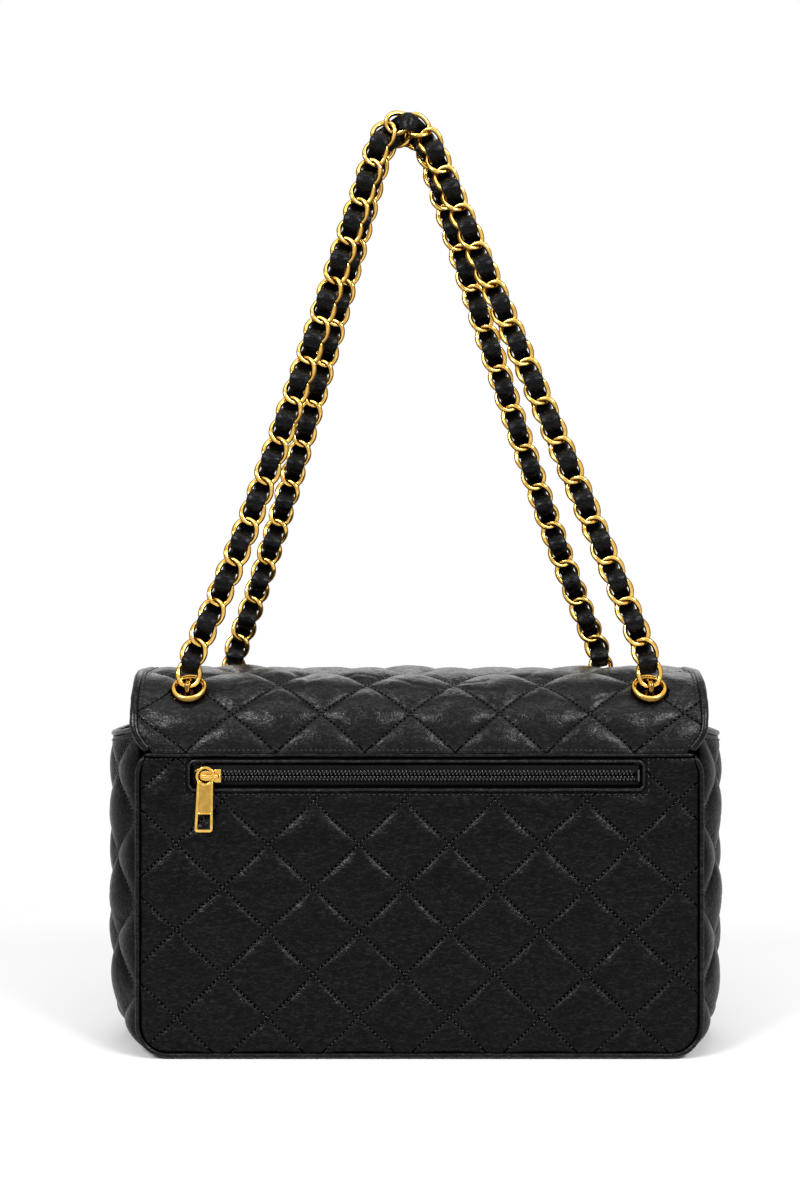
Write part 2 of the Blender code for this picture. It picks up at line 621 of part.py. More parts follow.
def build_slider():
    """The zip slider with its bridge, and the pull whose eye is held under the bridge."""
    middle_x = SLIDER_LEFT + SLIDER_LENGTH / 2
    slide = axis_empty("zip_slide_axis", (middle_x, -SLIDER_FACE, ZIP_MIDDLE_Z))
    right = SLIDER_LEFT + SLIDER_LENGTH
    waist = SLIDER_LEFT + SLIDER_NECK_LENGTH
    shape = [
        (SLIDER_LEFT, -SLIDER_WAIST_HEIGHT / 2),
        (waist, -SLIDER_HEIGHT / 2),
        (right, -SLIDER_HEIGHT / 2),
        (right, SLIDER_HEIGHT / 2),
        (waist, SLIDER_HEIGHT / 2),
        (SLIDER_LEFT, SLIDER_WAIST_HEIGHT / 2),
    ]
    shape = [(x, ZIP_MIDDLE_Z + z) for x, z in shape]
    plate_back = SLIDER_PLATE - SLIDER_FACE
    plate_middle = plate_back - SLIDER_PLATE / 2
    rear_middle = SLIDER_PLATE / 2 - SLIDER_BACK
    slider = upright_plate("zip_slider", shape, -SLIDER_FACE, plate_back, GOLD, carrier=slide)
    half_neck = SLIDER_NECK_WIDTH / 2
    low = (SLIDER_LEFT + SLIDER_PLATE, plate_middle, ZIP_MIDDLE_Z - half_neck)
    high = (waist, rear_middle, ZIP_MIDDLE_Z + half_neck)
    combine(slider, tool("slider_neck", box_mesh("slider_neck", low, high)), "UNION")
    rear = upright(plate_mesh("slider_rear", shape, SLIDER_PLATE), rear_middle)
    combine(slider, tool("slider_rear", rear), "UNION")
    half_bar = BRIDGE_HALF_WIDTH
    low = (BRIDGE_LEFT - half_bar, -BRIDGE_FACE, ZIP_MIDDLE_Z - half_bar)
    high = (BRIDGE_RIGHT + half_bar, -BRIDGE_BACK, ZIP_MIDDLE_Z + half_bar)
    combine(slider, tool("bridge_bar", box_mesh("bridge_bar", low, high)), "UNION")
    for name, x in (("bridge_left", BRIDGE_LEFT), ("bridge_right", BRIDGE_RIGHT)):
        foot_low = -BRIDGE_BACK - BRIDGE_THICKNESS / 2
        low = (x - half_bar, foot_low, ZIP_MIDDLE_Z - half_bar / 2)
        high = (x + half_bar, plate_middle, ZIP_MIDDLE_Z + half_bar / 2)
        combine(slider, tool(name, box_mesh(name, low, high)), "UNION")
    wire = (PULL_EYE_RADIUS + PULL_EYE_HOLE) / 2
    hinge_at = (PULL_EYE_X + wire, PULL_THICKNESS / 2 - PULL_FACE, ZIP_MIDDLE_Z)
    hinge = axis_empty("zip_pull_axis", hinge_at)
    neck = math.acos(PULL_TOP_HALF_WIDTH / PULL_EYE_RADIUS)
    centre = (PULL_EYE_X, ZIP_MIDDLE_Z)
    eye = arc(centre, PULL_EYE_RADIUS, -neck, math.pi + neck, ROUND_STEPS)
    foot = [
        (PULL_EYE_X - PULL_FOOT_HALF_WIDTH, PULL_FOOT_HEIGHT),
        (PULL_EYE_X + PULL_FOOT_HALF_WIDTH, PULL_FOOT_HEIGHT),
    ]
    left, right = PULL_EYE_X - PULL_WINDOW_HALF_WIDTH, PULL_EYE_X + PULL_WINDOW_HALF_WIDTH
    low, high = PULL_WINDOW_BOTTOM, PULL_WINDOW_TOP
    window = [(left, low), (right, low), (right, high), (left, high)]
    holes = [circle(centre, PULL_EYE_HOLE), window]
    back = PULL_THICKNESS - PULL_FACE
    upright_plate("zip_pull", eye + foot, -PULL_FACE, back, GOLD, holes, hinge)


def build_lock():
    """Turn lock on the front panel: plate with its bush, washer behind, and turn button."""
    facing = Matrix.Rotation(math.pi / 2, 4, "X")

    def rod(name, radius, low_y, high_y):
        middle = Vector((0, (low_y + high_y) / 2, LOCK_HEIGHT))
        return rod_mesh(name, radius, high_y - low_y, Matrix.Translation(middle) @ facing)

    low, high = LOCK_HEIGHT - LOCK_PLATE_HALF_HEIGHT, LOCK_HEIGHT + LOCK_PLATE_HALF_HEIGHT
    shape = rounded(LOCK_PLATE_HALF_WIDTH, low, high, LOCK_PLATE_CORNER, 2)
    plate = upright_plate("lock_base_plate", shape, HALF_DEPTH + GAP, LOCK_PLATE_FACE, GOLD)
    bush_back = PANEL_INNER - GAP - LOCK_WASHER_THICKNESS
    bush = rod("lock_bush", LOCK_BUSH_RADIUS, bush_back, LOCK_PLATE_FACE - LOCK_PLATE_THICKNESS / 2)
    combine(plate, tool("lock_bush", bush), "UNION")
    bore = rod("lock_bore", LOCK_SHANK_RADIUS + GAP, bush_back - OVERRUN, LOCK_PLATE_FACE + OVERRUN)
    combine(plate, tool("lock_bore", bore), "DIFFERENCE")
    ring = circle((0, LOCK_HEIGHT), LOCK_WASHER_RADIUS)
    hole = circle((0, LOCK_HEIGHT), LOCK_BUSH_RADIUS + GAP)
    upright_plate("lock_washer", ring, bush_back, PANEL_INNER - GAP, GOLD, holes=[hole])
    turn = axis_empty("lock_turn_axis", (0, GRIP_FACE, LOCK_HEIGHT))
    grip = rounded(
        LOCK_GRIP_HALF_LENGTH,
        LOCK_HEIGHT - LOCK_GRIP_HALF_THICKNESS,
        LOCK_HEIGHT + LOCK_GRIP_HALF_THICKNESS,
        LOCK_GRIP_HALF_THICKNESS - GAP,
        2,
    )
    button = upright_plate(
        "lock_turn_button", grip, GRIP_FACE, GRIP_FACE + LOCK_GRIP_HEIGHT, GOLD, carrier=turn
    )
    shank_end = GRIP_FACE + LOCK_GRIP_HEIGHT / 2
    shank = rod("lock_shank", LOCK_SHANK_RADIUS, bush_back, shank_end)
    combine(button, tool("lock_shank", shank), "UNION")


def eyelet_frame(side, facing):
    """The eyelet's own frame: its Z is square to the crown, its X is the bag's."""
    x = side * (REAR_EYELET_X if facing == BACK else FRONT_EYELET_X)
    round_y = BACK_ROUND_Y if facing == BACK else FRONT_ROUND_Y
    normal = Vector((0, facing * math.cos(EYELET_ANGLE), math.sin(EYELET_ANGLE)))
    centre = Vector((x, round_y, CROWN_CENTRE_HEIGHT)) + FLAP_ROUND * normal
    turn = Matrix.Rotation(-facing * (math.pi / 2 - EYELET_ANGLE), 4, "X")
    return Matrix.Translation(centre) @ turn, normal


def turned(name, profile, matrix, look, carrier):
    """A ring turned from a closed profile of radius and height."""
    mesh = bpy.data.meshes.new(name)
    count = len(profile)
    edges = [(n, (n + 1) % count) for n in range(count)]
    mesh.from_pydata([(r, 0, z) for r, z in profile], edges, [])
    made = place(name, mesh, look, carrier)
    made.matrix_basis = Matrix.Translation(-carrier.location) @ matrix
    spin = made.modifiers.new("turn", "SCREW")
    spin.axis = "Z"
    spin.steps = ROUND_STEPS
    spin.render_steps = ROUND_STEPS
    spin.use_merge_vertices = True
    spin.merge_threshold = MERGE
    return made


def build_flap():
    """The crown over the mouth and the front flap that hangs from it, lined and bound."""
    lift = axis_empty("flap_lift_axis", (0, -HALF_DEPTH, SEAM_HEIGHT))
    unfold = axis_empty("flap_unfold_axis", (0, FLAP_FACE + GAP, FOLD_HEIGHT))
    stations = crown_stations()
    across = spread(-FLAP_HALF_WIDTH, FLAP_HALF_WIDTH, 2)
    lining_depth = FLAP_THICKNESS + GAP

    def outer(x, distance):
        return crown_point(distance, 0) + Vector((x, 0, 0))

    def inner(x, distance):
        return crown_point(distance, lining_depth) + Vector((x, 0, 0))

    crown = skin("flap_crown", outer, across, stations, FLAP_THICKNESS, LEATHER, lift)
    lining = skin("crown_lining", inner, across, stations, LINING_THICKNESS, LINING, lift)
    for name, side in (("crown_binding_left", LEFT), ("crown_binding_right", RIGHT)):
        line = [crown_point(d, FLAP_THICKNESS / 2) for d in stations]
        points = [(side * BINDING_X, p.y, p.z) for p in line]
        tube(name, points, BINDING_RADIUS, LEATHER, lift)
    for label, facing in (("rear", BACK), ("front", FRONT)):
        for name, side in (("left", LEFT), ("right", RIGHT)):
            frame = eyelet_frame(side, facing)[0]
            build_eyelet(label, name, frame, lift, (crown, lining))
    top = FOLD_HEIGHT - GAP
    low, high = FLAP_INNER, FLAP_FACE
    shape = round_footed(
        FLAP_HALF_WIDTH, FLAP_FOOT_HEIGHT, top, FLAP_CORNER_RADIUS, FLAP_CORNER_STEPS
    )
    slot_z = LOCK_HEIGHT - LOCK_SLOT_DROP

    def slot(grow):
        half_height = LOCK_SLOT_HALF_HEIGHT + grow
        corner = LOCK_SLOT_HALF_HEIGHT / 2 + grow
        half_width = LOCK_SLOT_HALF_WIDTH + grow
        return rounded(half_width, slot_z - half_height, slot_z + half_height, corner, 2)

    hole = slot(LOCK_SLEEVE_WALL + GAP)
    upright_plate("flap_front", shape, low, high, LEATHER, holes=[hole], carrier=unfold)
    upright_plate(
        "flap_front_lining",
        shape,
        FLAP_LINING_INNER,
        FLAP_LINING_INNER + LINING_THICKNESS,
        LINING,
        holes=[hole],
        carrier=unfold,
    )
    bound = round_footed(
        BINDING_X,
        FLAP_FOOT_HEIGHT - GAP - BINDING_RADIUS,
        top,
        FLAP_CORNER_RADIUS + GAP + BINDING_RADIUS,
        FLAP_CORNER_STEPS,
    )
    middle = FLAP_FACE - FLAP_THICKNESS / 2
    points = [(x, middle, z) for x, z in bound[1:] + bound[:1]]
    tube("flap_front_binding", points, BINDING_RADIUS, LEATHER, unfold)
    rim = upright_plate(
        "lock_escutcheon",
        slot(LOCK_RIM_WIDTH),
        FLAP_FACE + GAP,
        LOCK_RIM_FACE,
        GOLD,
        holes=[slot(0)],
        carrier=unfold,
    )
    sleeve_depth = FLAP_FACE + 2 * GAP - FLAP_LINING_INNER
    sleeve = plate_mesh("lock_sleeve", slot(LOCK_SLEEVE_WALL), sleeve_depth, [slot(0)])
    upright(sleeve, FLAP_LINING_INNER + sleeve_depth / 2)
    combine(rim, tool("lock_sleeve", sleeve), "UNION")
    return lift


def build_eyelet(label, name, frame, carrier, punched):
    """A metal eyelet set through crown and lining, closed by a washer inside."""
    hole, rim = EYELET_HOLE_RADIUS, RING_RADIUS
    barrel = hole + EYELET_BARREL_WALL
    shoulder = EYELET_RIM_WIDTH / 4
    profile = [
        (rim, GAP),
        (rim, GAP + EYELET_RIM_HEIGHT / 2),
        (rim - shoulder, GAP + EYELET_RIM_HEIGHT),
        (hole + shoulder, GAP + EYELET_RIM_HEIGHT),
        (hole, GAP + EYELET_RIM_HEIGHT / 2),
        (hole, -EYELET_BARREL_DEPTH),
        (barrel, -EYELET_BARREL_DEPTH),
        (barrel, GAP),
    ]
    turned(f"{label}_eyelet_{name}", profile[::-1], frame, GOLD, carrier)
    collar = barrel + GAP
    profile = [
        (WASHER_RADIUS, -WASHER_DEPTH),
        (collar, -WASHER_DEPTH),
        (collar, -WASHER_DEPTH - WASHER_THICKNESS),
        (WASHER_RADIUS, -WASHER_DEPTH - WASHER_THICKNESS),
    ]
    turned(f"{label}_washer_{name}", profile[::-1], frame, GOLD, carrier)
    punch = rod_mesh("punch", PUNCH_RADIUS, 2 * EYELET_BARREL_DEPTH, frame)
    cutter = tool(f"{label}_punch_{name}", punch)
    for piece in punched:
        combine(piece, cutter, "DIFFERENCE")


def link_points(flat_start):
    """A curb link's wire: an oval twisted so that its ends cross the next link's ends.

    The link runs along X and is twisted in Z. A flat start is the plain end that turns on
    the strap's own axis in the eyelet.
    """
    end, side = LINK_HALF_LENGTH, LINK_SIDE_HALF_LENGTH
    half, tip = LINK_HALF_WIDTH, LINK_END_HALF_WIDTH
    corners = [
        (end, -tip, LINK_END_TWIST),
        (end, tip, LINK_END_TWIST),
        (side, half, LINK_SIDE_TWIST),
        (-side, half, LINK_SIDE_TWIST),
        (-end, tip, LINK_END_TWIST),
        (-end, -tip, LINK_END_TWIST),
        (-side, -half, LINK_SIDE_TWIST),
        (side, -half, LINK_SIDE_TWIST),
    ]
    points = []
    for x, y, twist in corners:
        flat = flat_start and x <= -side
        points.append((x, y, 0 if flat else -math.copysign(twist, x * y)))
    return points


def hook_points():
    """A plain narrow link, which holds the strap's end bar in the eyelet."""
    end, half, tip = LINK_HALF_LENGTH, HOOK_LINK_HALF_WIDTH, LINK_END_HALF_WIDTH
    side = end - half + tip
    quarter = [(end, tip), (side, half), (-side, half), (-end, tip)]
    return [(x, y, 0) for x, y in quarter] + [(x, -y, 0) for x, y in quarter[::-1]]


def wire_mesh(name, points):
    """A closed wire bent through points, as a mesh."""
    curve = bpy.data.curves.new(name, "CURVE")
    curve.dimensions = "3D"
    curve.twist_mode = "Z_UP"
    curve.bevel_depth = LINK_WIRE_RADIUS
    curve.bevel_resolution = 0
    spline = curve.splines.new("POLY")
    spline.points.add(len(points) - 1)
    for point, place_at in zip(spline.points, points):
        point.co = (*place_at, 1)
    spline.use_cyclic_u = True
    sketch = bpy.data.objects.new(name, curve)
    tools.objects.link(sketch)
    bpy.context.view_layer.update()
    evaluated = sketch.evaluated_get(bpy.context.evaluated_depsgraph_get())
    mesh = bpy.data.meshes.new_from_object(evaluated)
    bpy.data.objects.remove(sketch)
    return mesh


def link_frame(start, end, across, shift=0):
    """A link's frame between two bearing points; its Y lies in the strap's broad face."""
    along = (end - start).normalized()
    flat = (across - across.dot(along) * along).normalized()
    normal = along.cross(flat)
    middle = (start + end) / 2 + shift * along
    turn = Matrix((along, flat, normal)).transposed().to_4x4()
    return Matrix.Translation(middle) @ turn


def chain(name, links, carrier):
    """Links bearing on each other in one run: every second link, joined with those between."""
    halves = [bmesh.new(), bmesh.new()]
    for number, (mesh, frame) in enumerate(links):
        copy = mesh.copy()
        copy.transform(frame)
        halves[number % 2].from_mesh(copy)
        bpy.data.meshes.remove(copy)
    meshes = []
    for half in halves:
        bmesh.ops.recalc_face_normals(half, faces=half.faces)
        mesh = bpy.data.meshes.new(name)
        half.to_mesh(mesh)
        half.free()
        mesh.materials.clear()
        meshes.append(mesh)
    made = place(name, meshes[0], GOLD, carrier)
    combine(made, tool(name + "_between", meshes[1]), "UNION")
    return made


def equal_chords(line, count):
    """Points on a dense line, with count equal straight steps from its start to its end."""

    def march(step):
        points, at, here = [line[0]], 0, line[0]
        while len(points) <= count:
            ahead = np.linalg.norm(line[at:] - here, axis=1)
            beyond = np.nonzero(ahead >= step)[0]
            if not len(beyond):
                return points, False
            at += max(beyond[0], 1)
            before, after = line[at - 1], line[at]
            low, high = 0.0, 1.0
            for _ in range(HALVINGS):
                middle = (low + high) / 2
                far = np.linalg.norm(before + (after - before) * middle - here) >= step
                low, high = (low, middle) if far else (middle, high)
            here = before + (after - before) * high
            points.append(here)
        return points, True

    length = np.linalg.norm(np.diff(line, axis=0), axis=1).sum()
    low, high = length / count / 2, length / count
    for _ in range(HALVINGS):
        middle = (low + high) / 2
        low, high = (middle, high) if march(middle)[1] else (low, middle)
    points = march(low)[0][:count]
    return [Vector(point) for point in points] + [Vector(line[-1])]


def leg_line(foot, top, foot_slope):
    """A strap leg in its own plane: it leans by foot_slope at its foot and settles above."""
    rise, reach = top[1] - foot[1], abs(top[0] - foot[0])
    eased = LEG_SETTLE * (1 - math.exp(-rise / LEG_SETTLE))
    slope = (reach - foot_slope * eased) / (rise - eased)
    heights = np.linspace(0, rise, LINE_STEPS)
    settled = LEG_SETTLE * (1 - np.exp(-heights / LEG_SETTLE))
    run = slope * heights + (foot_slope - slope) * settled
    inward = math.copysign(1, top[0] - foot[0])
    return np.column_stack([foot[0] + inward * run, foot[1] + heights]), math.atan(slope)


def strap_line(half_spacing, apex_rise, left_slope, right_slope):
    """The strap's bearing points in its own plane, from the left eyelet to the right one."""
    first = LINK_HALF_LENGTH - LINK_PITCH / 2
    second = first + LINK_PITCH
    centre = np.array([APEX_X, apex_rise - APEX_RADIUS])
    left_turn = right_turn = math.atan((left_slope + right_slope) / 2)
    for _ in range(HALVINGS):
        tangent = centre + APEX_RADIUS * np.array([-math.cos(left_turn), math.sin(left_turn)])
        left, left_turn = leg_line((-half_spacing, second), tangent, left_slope)
        tangent = centre + APEX_RADIUS * np.array([math.cos(right_turn), math.sin(right_turn)])
        right, right_turn = leg_line((half_spacing, second), tangent, right_slope)
    turns = np.linspace(math.pi - left_turn, right_turn, LINE_STEPS)[1:-1]
    bend = centre + APEX_RADIUS * np.column_stack([np.cos(turns), np.sin(turns)])
    line = np.vstack([left, bend, right[::-1]])
    length = np.linalg.norm(np.diff(line, axis=0), axis=1).sum()
    count = 2 * round(length / LINK_PITCH / 2)
    inner = equal_chords(line, count)
    ends = [Vector((side * half_spacing, first)) for side in (LEFT, RIGHT)]
    return [ends[0], *inner, ends[1]]


def ribbon_sections(points):
    """Along the strap: where the ribbon's sections lie, which way is across, and how high.

    It dips through each link's middle and rides over the ends, first on one face of the
    strap, then on the other.
    """
    sections = []
    for number, (start, end) in enumerate(zip(points[:-1], points[1:])):
        along = (end - start).normalized()
        across = Vector((-along.y, along.x))
        middle = (start + end) / 2
        height = RIBBON_WAVE if number % 2 == 0 else -RIBBON_WAVE
        sections.append((middle - RIBBON_STEP * along, across, -height))
        sections.append((middle + RIBBON_STEP * along, across, height))
    return sections


def ribbon(name, sections, to_world, normal, carrier):
    """A leather strip through the chain, laid through its sections and thickened."""

    def surface(side, number):
        point, across, height = sections[number]
        return to_world(point + side * RIBBON_HALF_WIDTH * across) + height * normal

    made = skin(name, surface, [-1, 1], range(len(sections)), RIBBON_THICKNESS, LEATHER, carrier)
    made.modifiers["wall"].offset = 0
    return made


def build_strap(label, facing, apex_height, left_slope, right_slope):
    """One strap: a chain and a ribbon up from each eyelet, meeting over the shoulder."""
    matrix, square = eyelet_frame(RIGHT, facing)
    foot = matrix.translation + AXIS_LIFT * square
    half_spacing = foot.x
    apex = Vector((0, facing * STRAP_HALF_GAP, apex_height))
    foot = Vector((0, foot.y, foot.z))
    rise_way = (apex - foot).normalized()
    normal = Vector((1, 0, 0)).cross(rise_way)
    hinge = axis_empty(label + "_strap_axis", foot)
    points = strap_line(half_spacing, (apex - foot).length, left_slope, right_slope)

    def to_world(point):
        return foot + Vector((point[0], 0, 0)) + point[1] * rise_way

    curb = wire_mesh("curb_link", link_points(False))
    last = wire_mesh("last_link", link_points(True))
    half_turn = Matrix.Rotation(math.pi, 4, "Z")
    count = len(points) - 1
    middle = count // 2 + SPLIT_LINKS
    links = []
    for number in range(count):
        shift = {middle - 1: SPLIT_SHIFT, middle: -SPLIT_SHIFT}.get(number, 0)
        start, end = to_world(points[number]), to_world(points[number + 1])
        flat = points[number + 1] - points[number]
        across = to_world(points[number] + Vector((-flat.y, flat.x))) - start
        frame = link_frame(start, end, across, shift)
        if number == count - 1:
            frame = frame @ half_turn
        links.append((last if number in (0, count - 1) else curb, frame))
    chain(label + "_chain_left", links[:middle], hinge)
    chain(label + "_chain_right", links[middle:], hinge)
    sections = ribbon_sections(points)
    before = (points[middle] - points[middle - 1]).normalized()
    after = (points[middle + 1] - points[middle]).normalized()
    along = (before + after).normalized()
    across = Vector((-along.y, along.x))
    split = 2 * middle
    height = sections[split][2]
    left_end = (points[middle] - GAP / 2 * along, across, height)
    right_end = (points[middle] + GAP / 2 * along, across, height)
    left_foot = ((points[0] + points[1]) / 2, sections[0][1], 0)
    right_foot = ((points[-2] + points[-1]) / 2, sections[-1][1], 0)
    left = [left_foot, *sections[1:split], left_end]
    right = [right_end, *sections[split:-1], right_foot]
    ribbon(label + "_ribbon_left", left, to_world, normal, hinge)
    ribbon(label + "_ribbon_right", right, to_world, normal, hinge)


def build_inner_chain(name, side, carrier):
    """The chain's run under the crown, from the rear eyelet to the front one."""
    ends = []
    for facing in (BACK, FRONT):
        matrix, square = eyelet_frame(side, facing)
        ends.append(matrix.translation + AXIS_LIFT * square)
    rear, front = ends
    across_bag = (front - rear).normalized()
    clear = 2 * LINK_WIRE_RADIUS + GAP
    back_off = LINK_PITCH / 2 - LINK_HALF_LENGTH + clear
    level = across_bag.cross(Vector((0, 0, 1))).normalized()
    down = level.cross(across_bag) if level.cross(across_bag).z < 0 else across_bag.cross(level)
    span = np.array(front - rear)
    shares = np.linspace(0, 1, LINE_STEPS)[:, None]
    count = round(np.linalg.norm(span) * INNER_SLACK_SHARE / LINK_PITCH)
    low, high = 0.0, (front - rear).length
    for _ in range(HALVINGS):
        sag = (low + high) / 2
        line = np.array(rear) + span * shares + 4 * sag * shares * (1 - shares) * np.array(down)
        way_in, way_out = line[0] - line[1], line[-1] - line[-2]
        start = line[0] + back_off * way_in / np.linalg.norm(way_in)
        end = line[-1] + back_off * way_out / np.linalg.norm(way_out)
        line = np.vstack([start, line, end])
        length = np.linalg.norm(np.diff(line, axis=0), axis=1).sum()
        low, high = (low, sag) if length > count * LINK_PITCH else (sag, high)
    points = equal_chords(line, count)
    hook = wire_mesh("hook_link", hook_points())
    curb = wire_mesh("inner_link", link_points(False))
    links = []
    for number, (start, end) in enumerate(zip(points[:-1], points[1:])):
        hooked = number in (0, len(points) - 2)
        broad = down if hooked else level
        links.append((hook if hooked else curb, link_frame(start, end, broad)))
    chain(name, links, carrier)


build_body()
build_lining()
build_zip()
build_slider()
build_lock()
lift_axis = build_flap()
build_strap("rear", BACK, REAR_APEX_HEIGHT, REAR_LEFT_FOOT_SLOPE, REAR_RIGHT_FOOT_SLOPE)
build_strap("front", FRONT, FRONT_APEX_HEIGHT, FRONT_LEFT_FOOT_SLOPE, FRONT_RIGHT_FOOT_SLOPE)
build_inner_chain("inner_chain_left", LEFT, lift_axis)
build_inner_chain("inner_chain_right", RIGHT, lift_axis)
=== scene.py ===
"""A black quilted leather shoulder bag with a curb-chain strap, seen level from behind.

Metres, +Z up. The back with its zip pocket faces -Y and the flap's front faces +Y.
"""

import math

import bmesh
import bpy
import numpy as np
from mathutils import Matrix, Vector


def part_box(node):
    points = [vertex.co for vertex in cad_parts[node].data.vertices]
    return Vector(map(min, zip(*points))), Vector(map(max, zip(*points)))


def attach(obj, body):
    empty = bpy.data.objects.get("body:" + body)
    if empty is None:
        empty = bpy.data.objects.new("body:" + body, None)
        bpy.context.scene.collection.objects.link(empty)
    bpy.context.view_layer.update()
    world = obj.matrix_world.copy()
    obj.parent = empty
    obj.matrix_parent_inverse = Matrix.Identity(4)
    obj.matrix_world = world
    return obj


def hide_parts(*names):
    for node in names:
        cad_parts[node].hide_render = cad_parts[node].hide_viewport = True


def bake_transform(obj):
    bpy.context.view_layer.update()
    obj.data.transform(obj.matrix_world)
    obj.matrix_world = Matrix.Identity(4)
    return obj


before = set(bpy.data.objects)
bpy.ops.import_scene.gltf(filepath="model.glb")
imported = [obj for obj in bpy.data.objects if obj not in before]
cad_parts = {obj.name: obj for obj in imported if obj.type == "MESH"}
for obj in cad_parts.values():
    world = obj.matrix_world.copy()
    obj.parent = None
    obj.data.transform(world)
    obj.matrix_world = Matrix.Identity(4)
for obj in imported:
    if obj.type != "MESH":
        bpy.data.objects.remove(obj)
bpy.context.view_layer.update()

# The bag stands in a plain pale studio and is seen level from behind, a little left of
# its middle. The background is white, and soft boxes above and beside the bag light it.
scene = bpy.context.scene
scene.view_settings.view_transform = "Standard"

lens = bpy.data.cameras.new("lens")
lens.lens = 45
lens.sensor_width = 36
viewer = bpy.data.objects.new("viewer", lens)
viewer.location = (-0.00975, -0.800, 0.2295)
viewer.rotation_euler = (math.pi / 2, 0, 0)
scene.collection.objects.link(viewer)
scene.camera = viewer

FLOOR_REACH = 3.0
FLOOR_CLEAR = 0.0004


class Recipe:
    """A material or a world written as a short list of nodes and links."""

    def __init__(self, holder):
        self.holder = holder
        holder.use_nodes = True
        self.tree = holder.node_tree
        self.shader = self.tree.nodes.get("Principled BSDF")

    def add(self, kind, inputs=None, **settings):
        """A node of that kind, its settings, and its inputs as values or as other sockets."""
        node = self.tree.nodes.new("ShaderNode" + kind)
        for key, value in settings.items():
            setattr(node, key, value)
        for key, value in (inputs or {}).items():
            self.feed(node.inputs[key], value)
        return node

    def feed(self, socket, value):
        """Link a socket or set a value on an input."""
        if isinstance(value, bpy.types.NodeSocket):
            self.tree.links.new(value, socket)
        else:
            socket.default_value = value

    def set(self, **inputs):
        """Values or links of the shader, by names in lower case."""
        names = {key.name.lower().replace(" ", "_"): key for key in self.shader.inputs}
        for key, value in inputs.items():
            self.feed(names[key], value)

    def place(self, way="Object"):
        """The piece's own coordinates."""
        return self.add("TexCoord").outputs[way]

    def marks(self):
        """The first and the second number of the marks, the piece's UV map."""
        return self.add("SeparateXYZ", {0: self.add("UVMap", uv_map="marks").outputs[0]}).outputs

    def noise(self, at, scale, detail=2.0, roughness=0.5, distortion=0.0):
        """Grey noise at a place."""
        inputs = dict(Vector=at, Scale=scale, Detail=detail, Roughness=roughness, Distortion=distortion)
        return self.add("TexNoise", inputs).outputs["Fac"]

    def ramp(self, value, low, dark, high, light):
        """Two colours, dark up to the low value and light from the high one."""
        node = self.add("ValToRGB", {0: value})
        for stop, at, colour in zip(node.color_ramp.elements, (low, high), (dark, light)):
            stop.position = at
            stop.color = (*colour, 1)
        return node.outputs[0]

    def bump(self, strength, distance, height, over=None):
        """Bumps of a height, over the bumps before them."""
        inputs = dict(Strength=strength, Distance=distance, Height=height)
        return self.add("Bump", inputs | ({"Normal": over} if over else {})).outputs[0]

    def spread(self, value, low, high, to_low=0.0, to_high=1.0):
        """A value eased from one range to another."""
        inputs = {0: value, 1: low, 2: high, 3: to_low, 4: to_high}
        return self.add("MapRange", inputs, interpolation_type="SMOOTHSTEP").outputs[0]

    def sum(self, first, second, kind="ADD"):
        """Two values added, or joined by another operation."""
        return self.add("Math", {0: first, 1: second}, operation=kind).outputs[0]

    def times(self, first, second):
        """Two values multiplied."""
        return self.sum(first, second, "MULTIPLY")

    def seen(self):
        """1 to the camera, in reflections and through glass, and 0 to all other rays."""
        rays = self.add("LightPath").outputs
        straight = self.sum(rays["Is Camera Ray"], rays["Is Glossy Ray"], "MAXIMUM")
        return self.sum(straight, rays["Is Transmission Ray"], "MAXIMUM")


def full_turn(count):
    """Equal angles once round, without the last one, which is the first again."""
    return np.linspace(0, 2 * math.pi, count, endpoint=False)


def studio_floor():
    """A pale disc that fades into the white background towards its rim."""
    turns = full_turn(96)
    rim = np.stack([np.cos(turns), np.sin(turns), np.zeros_like(turns)], axis=1) * FLOOR_REACH
    mesh = bpy.data.meshes.new("floor")
    mesh.from_pydata([tuple(p) for p in rim - [0, 0, FLOOR_CLEAR]], [], [tuple(range(96))])
    made = bpy.data.objects.new("floor", mesh)
    scene.collection.objects.link(made)
    pale = Recipe(bpy.data.materials.new("pale_floor"))
    far = pale.add("VectorMath", {0: pale.place()}, operation="LENGTH").outputs["Value"]
    cloth = pale.add("BsdfDiffuse", {"Color": pale.spread(pale.seen(), 0, 1, 0.30, 0.93)})
    clear = pale.add("BsdfTransparent")
    shaders = {0: pale.spread(far, 0.2, 0.55), 1: cloth.outputs[0], 2: clear.outputs[0]}
    output = pale.tree.nodes["Material Output"]
    pale.feed(output.inputs["Surface"], pale.add("MixShader", shaders).outputs[0])
    mesh.materials.append(pale.holder)


def studio_world():
    """White to the camera and in reflections, and a soft dome, brighter overhead, that
    lights everything else."""
    scene.world = bpy.data.worlds.new("studio")
    sky = Recipe(scene.world)
    height = sky.add("SeparateXYZ", {0: sky.place("Generated")}).outputs["Z"]
    dome = sky.spread(height, -0.1, 0.85, 0.07, 0.4)
    strength = sky.add("Mix", {"Factor": sky.seen(), "A": dome, "B": 1.0}).outputs["Result"]
    white = sky.tree.nodes["Background"].inputs
    sky.feed(white["Strength"], strength)
    white["Color"].default_value = (1, 1, 1, 1)


def soft_box(name, place, aim, size, power):
    """A soft box: an area lamp at a place, aimed at a point."""
    lamp = bpy.data.lights.new(name, "AREA")
    lamp.shape = "RECTANGLE"
    lamp.size, lamp.size_y = size
    lamp.energy = power
    made = bpy.data.objects.new(name, lamp)
    made.location = place
    way = Vector(aim) - Vector(place)
    made.rotation_euler = way.to_track_quat("-Z", "Y").to_euler()
    scene.collection.objects.link(made)


